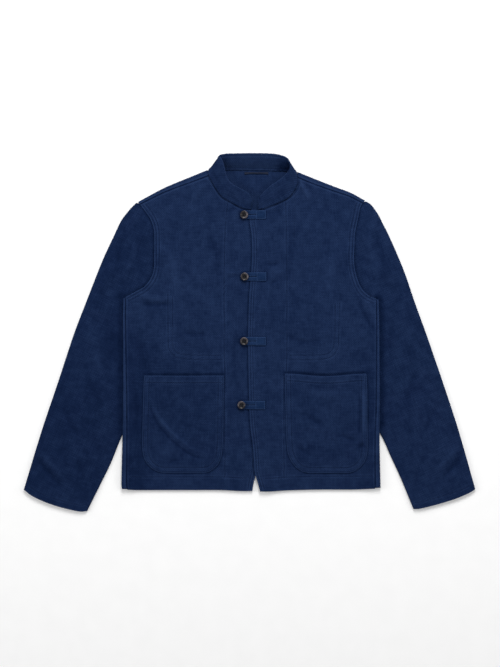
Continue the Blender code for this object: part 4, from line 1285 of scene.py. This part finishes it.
def button(index, x, y):
    """A dished button with four holes on a thread shank."""
    base = float(front_height("right", np.array(x), np.array(y))) + CLOTH / 2 + TRIM_GAP
    side = ((1.5, 0.1), (1.45, 1.6), (1.5, 3.3), (2.4, 3.75), (4.8, 3.85), (7.3, 4.25), (8.5, 4.8),
            (9.0, 5.45), (8.85, 6.05), (8.35, 6.45), (7.6, 6.58), (6.9, 6.4), (6.3, 6.0), (5.7, 5.75))
    dish = np.stack([np.linspace(5.5, 0.12, 25), np.full(25, 5.7)], axis=-1)
    profile = np.vstack([curve_points(side, 3), dish])
    segments = 80
    angles = 2 * math.pi * np.arange(segments) / segments
    radius = profile[:, 0][:, None] * BUTTON_SCALE
    at_x = radius * np.cos(angles)
    at_y = radius * np.sin(angles)
    wobble = 1 + 0.006 * np.sin(3 * angles + index)
    rise = np.repeat(profile[:, 1][:, None], segments, axis=1)
    face = np.zeros(len(profile), bool)
    face[len(profile) - 25:] = True
    turn = 0.35 * index
    for quarter in range(4):
        angle = math.pi / 4 + quarter * math.pi / 2 + turn
        hole = np.hypot(at_x - 2.45 * math.cos(angle), at_y - 2.45 * math.sin(angle))
        rise -= face[:, None] * 1.9 * smoothstep(1.15, 0.8, hole)
    verts = np.stack([x + at_x * wobble, y + at_y * wobble, base + rise], axis=-1)
    rings = len(profile)
    ring, step = np.meshgrid(np.arange(rings - 1), np.arange(segments), indexing="ij")
    after = (step + 1) % segments
    faces = np.stack([ring * segments + step, ring * segments + after,
                      (ring + 1) * segments + after, (ring + 1) * segments + step], axis=-1).reshape(-1, 4)
    # Painted highlight: the rim is painted pale, brightest on one side by the glint.
    pale = smoothstep(4.6, 6.0, profile[:, 0]) * smoothstep(4.6, 5.6, profile[:, 1])
    glint = 0.62 + 0.38 * np.cos(angles + 0.9 - 0.7 * index)
    piece = mesh_piece(f"horn_button_{index}", verts.reshape(-1, 3), faces, HORN_FINISH,
                       wear_and_painted_light=(pale[:, None] * glint).ravel())
    lines = []
    up = np.tile([0.0, 0.0, 1.0], (6, 1))
    for pair in (0, 1):
        ends = [math.pi / 4 + pair * math.pi + turn, 3 * math.pi / 4 + pair * math.pi + turn]
        start, stop = (np.array([2.45 * math.cos(a), 2.45 * math.sin(a)]) for a in ends)
        aside = unit(np.array([-(stop - start)[1], (stop - start)[0]]))
        for shift in (-0.42, 0.0, 0.42):
            share = np.linspace(0, 1, 6)[:, None]
            line = start + (stop - start) * share + aside * shift + [x, y]
            arch = base + 5.75 + 0.5 * np.sin(math.pi * share[:, 0])
            lines.append((np.column_stack([line, arch]), up))
    thread = stitches(f"button_thread_{index}", lines, DARK_THREAD_FINISH, 3.4, 3.4, 0.3, 70 + index)
    return piece, thread


def new_material(name):
    made = bpy.data.materials.new(name)
    made.use_nodes = True
    return made, made.node_tree.nodes, made.node_tree.links, made.node_tree.nodes["Principled BSDF"]


def math_node(nodes, links, operation, first, second=None, third=None):
    """A Math node fed by sockets or by plain numbers."""
    made = nodes.new("ShaderNodeMath")
    made.operation = operation
    for socket, value in zip(made.inputs, (first, second, third)):
        if value is None:
            continue
        if isinstance(value, (int, float)):
            socket.default_value = value
        else:
            links.new(value, socket)
    return made.outputs[0]


def noise_node(nodes, links, vector, scale, detail=3.0, roughness=0.55):
    made = nodes.new("ShaderNodeTexNoise")
    made.inputs["Scale"].default_value = scale
    made.inputs["Detail"].default_value = detail
    made.inputs["Roughness"].default_value = roughness
    links.new(vector, made.inputs["Vector"])
    return made.outputs["Fac"]


def ramp_node(nodes, links, factor, stops):
    made = nodes.new("ShaderNodeValToRGB")
    while len(made.color_ramp.elements) < len(stops):
        made.color_ramp.elements.new(0.5)
    for element, (at, colour) in zip(made.color_ramp.elements, stops):
        element.position = at
        element.color = (*colour, 1.0)
    links.new(factor, made.inputs["Fac"])
    return made.outputs["Color"]


def woven(name, dark, middle, light, grain_size, grain_depth, sheen):
    """Indigo cloth with rows of small raised grains, yarn under them, faded where it is rubbed, and with
    shade and light painted in from the point attribute.
    """
    made, nodes, links, shader = new_material(name)
    place = nodes.new("ShaderNodeUVMap")
    place.uv_map = "cloth"
    solid = nodes.new("ShaderNodeTexCoord").outputs["Object"]
    sway = noise_node(nodes, links, place.outputs[0], 45.0, 2.0)
    split = nodes.new("ShaderNodeSeparateXYZ")
    links.new(place.outputs[0], split.inputs[0])
    bend = math_node(nodes, links, "MULTIPLY", sway, 0.0016)
    across = math_node(nodes, links, "ADD", split.outputs[0], bend)
    upward = math_node(nodes, links, "ADD", split.outputs[1], bend)
    turns_x = math_node(nodes, links, "MULTIPLY", across, 2 * math.pi / grain_size[0])
    wave_x = math_node(nodes, links, "COSINE", turns_x)
    turns_y = math_node(nodes, links, "MULTIPLY", upward, 2 * math.pi / grain_size[1])
    wave_y = math_node(nodes, links, "COSINE", turns_y)
    waves = math_node(nodes, links, "MULTIPLY", wave_x, wave_y)
    grain = math_node(nodes, links, "MULTIPLY_ADD", waves, 0.5, 0.5)
    stretch = nodes.new("ShaderNodeMapping")
    stretch.inputs["Scale"].default_value = (1.0, 2.6, 1.0)
    links.new(place.outputs[0], stretch.inputs["Vector"])
    yarn = noise_node(nodes, links, stretch.outputs[0], 900.0, 2.0, 0.6)
    broad = noise_node(nodes, links, solid, 7.0, 4.0, 0.6)
    patchy = noise_node(nodes, links, solid, 55.0, 3.0, 0.6)
    # The point attribute carries rubbed wear together with painted shade and painted light.
    wear_and_painted_light = nodes.new("ShaderNodeAttribute")
    wear_and_painted_light.attribute_name = "wear_and_painted_light"
    slubs = []
    for stretched in ((7.0, 1.0, 1.0), (1.0, 7.0, 1.0)):
        along_yarn = nodes.new("ShaderNodeMapping")
        along_yarn.inputs["Scale"].default_value = stretched
        links.new(place.outputs[0], along_yarn.inputs["Vector"])
        slubs.append(noise_node(nodes, links, along_yarn.outputs[0], 48.0, 3.0, 0.65))
    here = math_node(nodes, links, "MULTIPLY_ADD", patchy, 1.3, -0.35)
    shown = math_node(nodes, links, "MULTIPLY", grain, here)
    shade = math_node(nodes, links, "MULTIPLY_ADD", shown, 0.62, -0.53)
    for value, share in ((yarn, 0.2), (broad, 0.22), (patchy, 0.16), (slubs[0], 0.46), (slubs[1], 0.46),
                         (wear_and_painted_light.outputs["Fac"], 1.0)):
        shade = math_node(nodes, links, "MULTIPLY_ADD", value, share, shade)
    dyed = ramp_node(nodes, links, shade, ((0.1, dark), (0.48, middle), (0.95, light)))
    links.new(dyed, shader.inputs["Base Color"])
    height = math_node(nodes, links, "MULTIPLY_ADD", yarn, 0.35, grain)
    bump = nodes.new("ShaderNodeBump")
    bump.inputs["Strength"].default_value = 0.7
    bump.inputs["Distance"].default_value = grain_depth
    links.new(height, bump.inputs["Height"])
    links.new(bump.outputs[0], shader.inputs["Normal"])
    rough = math_node(nodes, links, "MULTIPLY_ADD", yarn, 0.15, 0.78)
    links.new(rough, shader.inputs["Roughness"])
    shader.inputs["Specular IOR Level"].default_value = 0.01
    shader.inputs["Sheen Weight"].default_value = sheen
    shader.inputs["Sheen Roughness"].default_value = 0.45
    shader.inputs["Sheen Tint"].default_value = (0.3, 0.45, 1.0, 1.0)
    return made


def thread_finish(name, dark, light):
    """Twisted cotton thread."""
    made, nodes, links, shader = new_material(name)
    solid = nodes.new("ShaderNodeTexCoord").outputs["Object"]
    twist = noise_node(nodes, links, solid, 1400.0, 2.0)
    links.new(ramp_node(nodes, links, twist, ((0.3, dark), (0.7, light))), shader.inputs["Base Color"])
    bump = nodes.new("ShaderNodeBump")
    bump.inputs["Strength"].default_value = 0.5
    bump.inputs["Distance"].default_value = 0.0002
    links.new(twist, bump.inputs["Height"])
    links.new(bump.outputs[0], shader.inputs["Normal"])
    shader.inputs["Roughness"].default_value = 0.7
    shader.inputs["Specular IOR Level"].default_value = 0.1
    return made


def tape_finish():
    """Dark ribbed tape."""
    made, nodes, links, shader = new_material("twill_tape")
    place = nodes.new("ShaderNodeUVMap")
    place.uv_map = "cloth"
    ribs = nodes.new("ShaderNodeTexWave")
    ribs.wave_type = "BANDS"
    ribs.bands_direction = "DIAGONAL"
    ribs.inputs["Scale"].default_value = 320.0
    ribs.inputs["Distortion"].default_value = 0.6
    links.new(place.outputs[0], ribs.inputs["Vector"])
    fluff = noise_node(nodes, links, place.outputs[0], 700.0, 2.0)
    softened = math_node(nodes, links, "MULTIPLY", fluff, 0.5)
    mixed = math_node(nodes, links, "MULTIPLY_ADD", ribs.outputs["Fac"], 0.5, softened)
    links.new(ramp_node(nodes, links, mixed, ((0.2, (0.006, 0.008, 0.016)), (0.8, (0.022, 0.03, 0.06)))),
              shader.inputs["Base Color"])
    bump = nodes.new("ShaderNodeBump")
    bump.inputs["Strength"].default_value = 0.6
    bump.inputs["Distance"].default_value = 0.0003
    links.new(ribs.outputs["Fac"], bump.inputs["Height"])
    links.new(bump.outputs[0], shader.inputs["Normal"])
    shader.inputs["Roughness"].default_value = 0.7
    shader.inputs["Specular IOR Level"].default_value = 0.1
    return made


def horn_finish():
    """Polished dark horn with pale streaks, and a highlight painted round the rim from the point attribute.
    """
    made, nodes, links, shader = new_material("polished_horn")
    solid = nodes.new("ShaderNodeTexCoord").outputs["Object"]
    stretch = nodes.new("ShaderNodeMapping")
    stretch.inputs["Scale"].default_value = (1.0, 0.35, 1.0)
    stretch.inputs["Rotation"].default_value = (0.0, 0.0, 0.6)
    links.new(solid, stretch.inputs["Vector"])
    cloud = noise_node(nodes, links, stretch.outputs[0], 260.0, 4.0, 0.6)
    speck = noise_node(nodes, links, stretch.outputs[0], 1500.0, 2.0, 0.6)
    flecks = math_node(nodes, links, "MULTIPLY", speck, 0.2)
    mixed = math_node(nodes, links, "MULTIPLY_ADD", cloud, 0.8, flecks)
    # The point attribute carries the highlight painted on the rim.
    rim = nodes.new("ShaderNodeAttribute")
    rim.attribute_name = "wear_and_painted_light"
    darker = math_node(nodes, links, "ADD", mixed, -0.2)
    mixed = math_node(nodes, links, "MULTIPLY_ADD", rim.outputs["Fac"], 0.36, darker)
    links.new(ramp_node(nodes, links, mixed, ((0.25, (0.003, 0.003, 0.004)), (0.44, (0.012, 0.010, 0.012)),
                                              (0.70, (0.085, 0.075, 0.085)))), shader.inputs["Base Color"])
    bump = nodes.new("ShaderNodeBump")
    bump.inputs["Strength"].default_value = 0.25
    bump.inputs["Distance"].default_value = 0.0001
    links.new(speck, bump.inputs["Height"])
    links.new(bump.outputs[0], shader.inputs["Normal"])
    links.new(math_node(nodes, links, "MULTIPLY_ADD", speck, 0.2, 0.18), shader.inputs["Roughness"])
    shader.inputs["Specular IOR Level"].default_value = 0.4
    return made


def floor_finish():
    made, nodes, links, shader = new_material("pale_floor")
    solid = nodes.new("ShaderNodeTexCoord").outputs["Object"]
    grain = noise_node(nodes, links, solid, 30.0, 3.0)
    links.new(ramp_node(nodes, links, grain, ((0.3, (0.93, 0.93, 0.93)), (0.7, (0.96, 0.96, 0.96)))),
              shader.inputs["Base Color"])
    shader.inputs["Roughness"].default_value = 0.9
    shader.inputs["Emission Color"].default_value = (1.0, 1.0, 1.0, 1.0)
    shader.inputs["Emission Strength"].default_value = 0.12
    return made


CLOTH_FINISH = woven("sashiko_cloth", (0.0025, 0.0074, 0.0285), (0.0064, 0.0152, 0.0500),
                     (0.0160, 0.0330, 0.0900), (0.0048, 0.0048), 0.0007, 0.03)
TAB_FINISH = woven("tab_twill", (0.0040, 0.0130, 0.0440), (0.0085, 0.0230, 0.0700), (0.0200, 0.0450, 0.1200),
                   (0.0012, 0.0016), 0.0002, 0.04)
THREAD_FINISH = thread_finish("indigo_thread", (0.008, 0.019, 0.058), (0.014, 0.031, 0.088))
DARK_THREAD_FINISH = thread_finish("dark_thread", (0.004, 0.006, 0.014), (0.012, 0.016, 0.03))
TAPE_FINISH = tape_finish()
HORN_FINISH = horn_finish()


def stage():
    """A pale floor, soft lights above it and a camera straight over the jacket."""
    floor_mesh = bpy.data.meshes.new("floor")
    reach = 8.0
    floor_mesh.from_pydata([(-reach, -reach, -0.0004), (reach, -reach, -0.0004), (reach, reach, -0.0004),
                            (-reach, reach, -0.0004)], [], [(0, 1, 2, 3)])
    floor_mesh.materials.append(floor_finish())
    floor = bpy.data.objects.new("floor", floor_mesh)
    bpy.context.scene.collection.objects.link(floor)
    for name, where, size, energy in (("softbox_top", (0.2, 1.9, 1.8), 1.2, 50.0),
                                      ("softbox_left", (-3.0, 0.2, 1.7), 1.4, 32.0),
                                      ("softbox_right", (3.0, 0.2, 1.7), 1.4, 22.0)):
        light = bpy.data.lights.new(name, "AREA")
        light.shape = "SQUARE"
        light.size = size
        light.energy = energy
        made = bpy.data.objects.new(name, light)
        made.location = where
        made.rotation_euler = (Vector((0, 0, 0)) - Vector(where)).to_track_quat("-Z", "Y").to_euler()
        bpy.context.scene.collection.objects.link(made)
    world = bpy.data.worlds.new("studio")
    world.use_nodes = True
    world.node_tree.nodes["Background"].inputs["Color"].default_value = (1.0, 1.0, 1.0, 1.0)
    world.node_tree.nodes["Background"].inputs["Strength"].default_value = 0.36
    bpy.context.scene.world = world
    middle = placed([0.0, 0.0, 0.0])
    camera = bpy.data.cameras.new("camera")
    camera.sensor_width = SENSOR
    camera.lens = SENSOR * CAMERA_HEIGHT / (PHOTO_SIZE[1] * MM_PER_PIXEL / 1000)
    camera.clip_end = 50.0
    made = bpy.data.objects.new("camera", camera)
    made.location = (middle[0] + (PHOTO_SIZE[0] / 2 - PLAN_ORIGIN_PIXEL[0]) * MM_PER_PIXEL / 1000,
                     middle[1] - (PHOTO_SIZE[1] / 2 - PLAN_ORIGIN_PIXEL[1]) * MM_PER_PIXEL / 1000,
                     CAMERA_HEIGHT)
    bpy.context.scene.collection.objects.link(made)
    bpy.context.scene.camera = made
    bpy.context.scene.view_settings.view_transform = "Standard"


def dress():
    """Makes every piece, and hides the node of the solids that it stands for."""
    for side in ("right", "left"):
        sewing = {
            "front": stitches("front_stitches_" + side, laid_on(front_surface, side, front_lines(side)),
                              THREAD_FINISH, seed=1),
            "pocket": stitches("pocket_stitches_" + side, laid_on(pocket_surface, side, pocket_lines(side)),
                               THREAD_FINISH, seed=2),
            "sleeve": stitches("sleeve_stitches_" + side, laid_on(sleeve_top, side, sleeve_lines(side)),
                               THREAD_FINISH, seed=3),
        }
        for kind, make in (("back", back), ("front", front), ("sleeve", sleeve), ("pocket", pocket)):
            piece = make(side)
            node = kind + "_" + side
            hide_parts(node)
    piece = collar()
    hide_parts("collar")
    piece = hanger()
    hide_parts("hanger_loop")
    for index, (x, y, edge, end) in enumerate(BUTTON_ROWS, start=1):
        piece, sewn = tab(index, x, y, edge, end)
        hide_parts(f"tab_{index}")
        piece, thread = button(index, x, y)
        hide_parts(f"button_{index}")


stage()
dress()
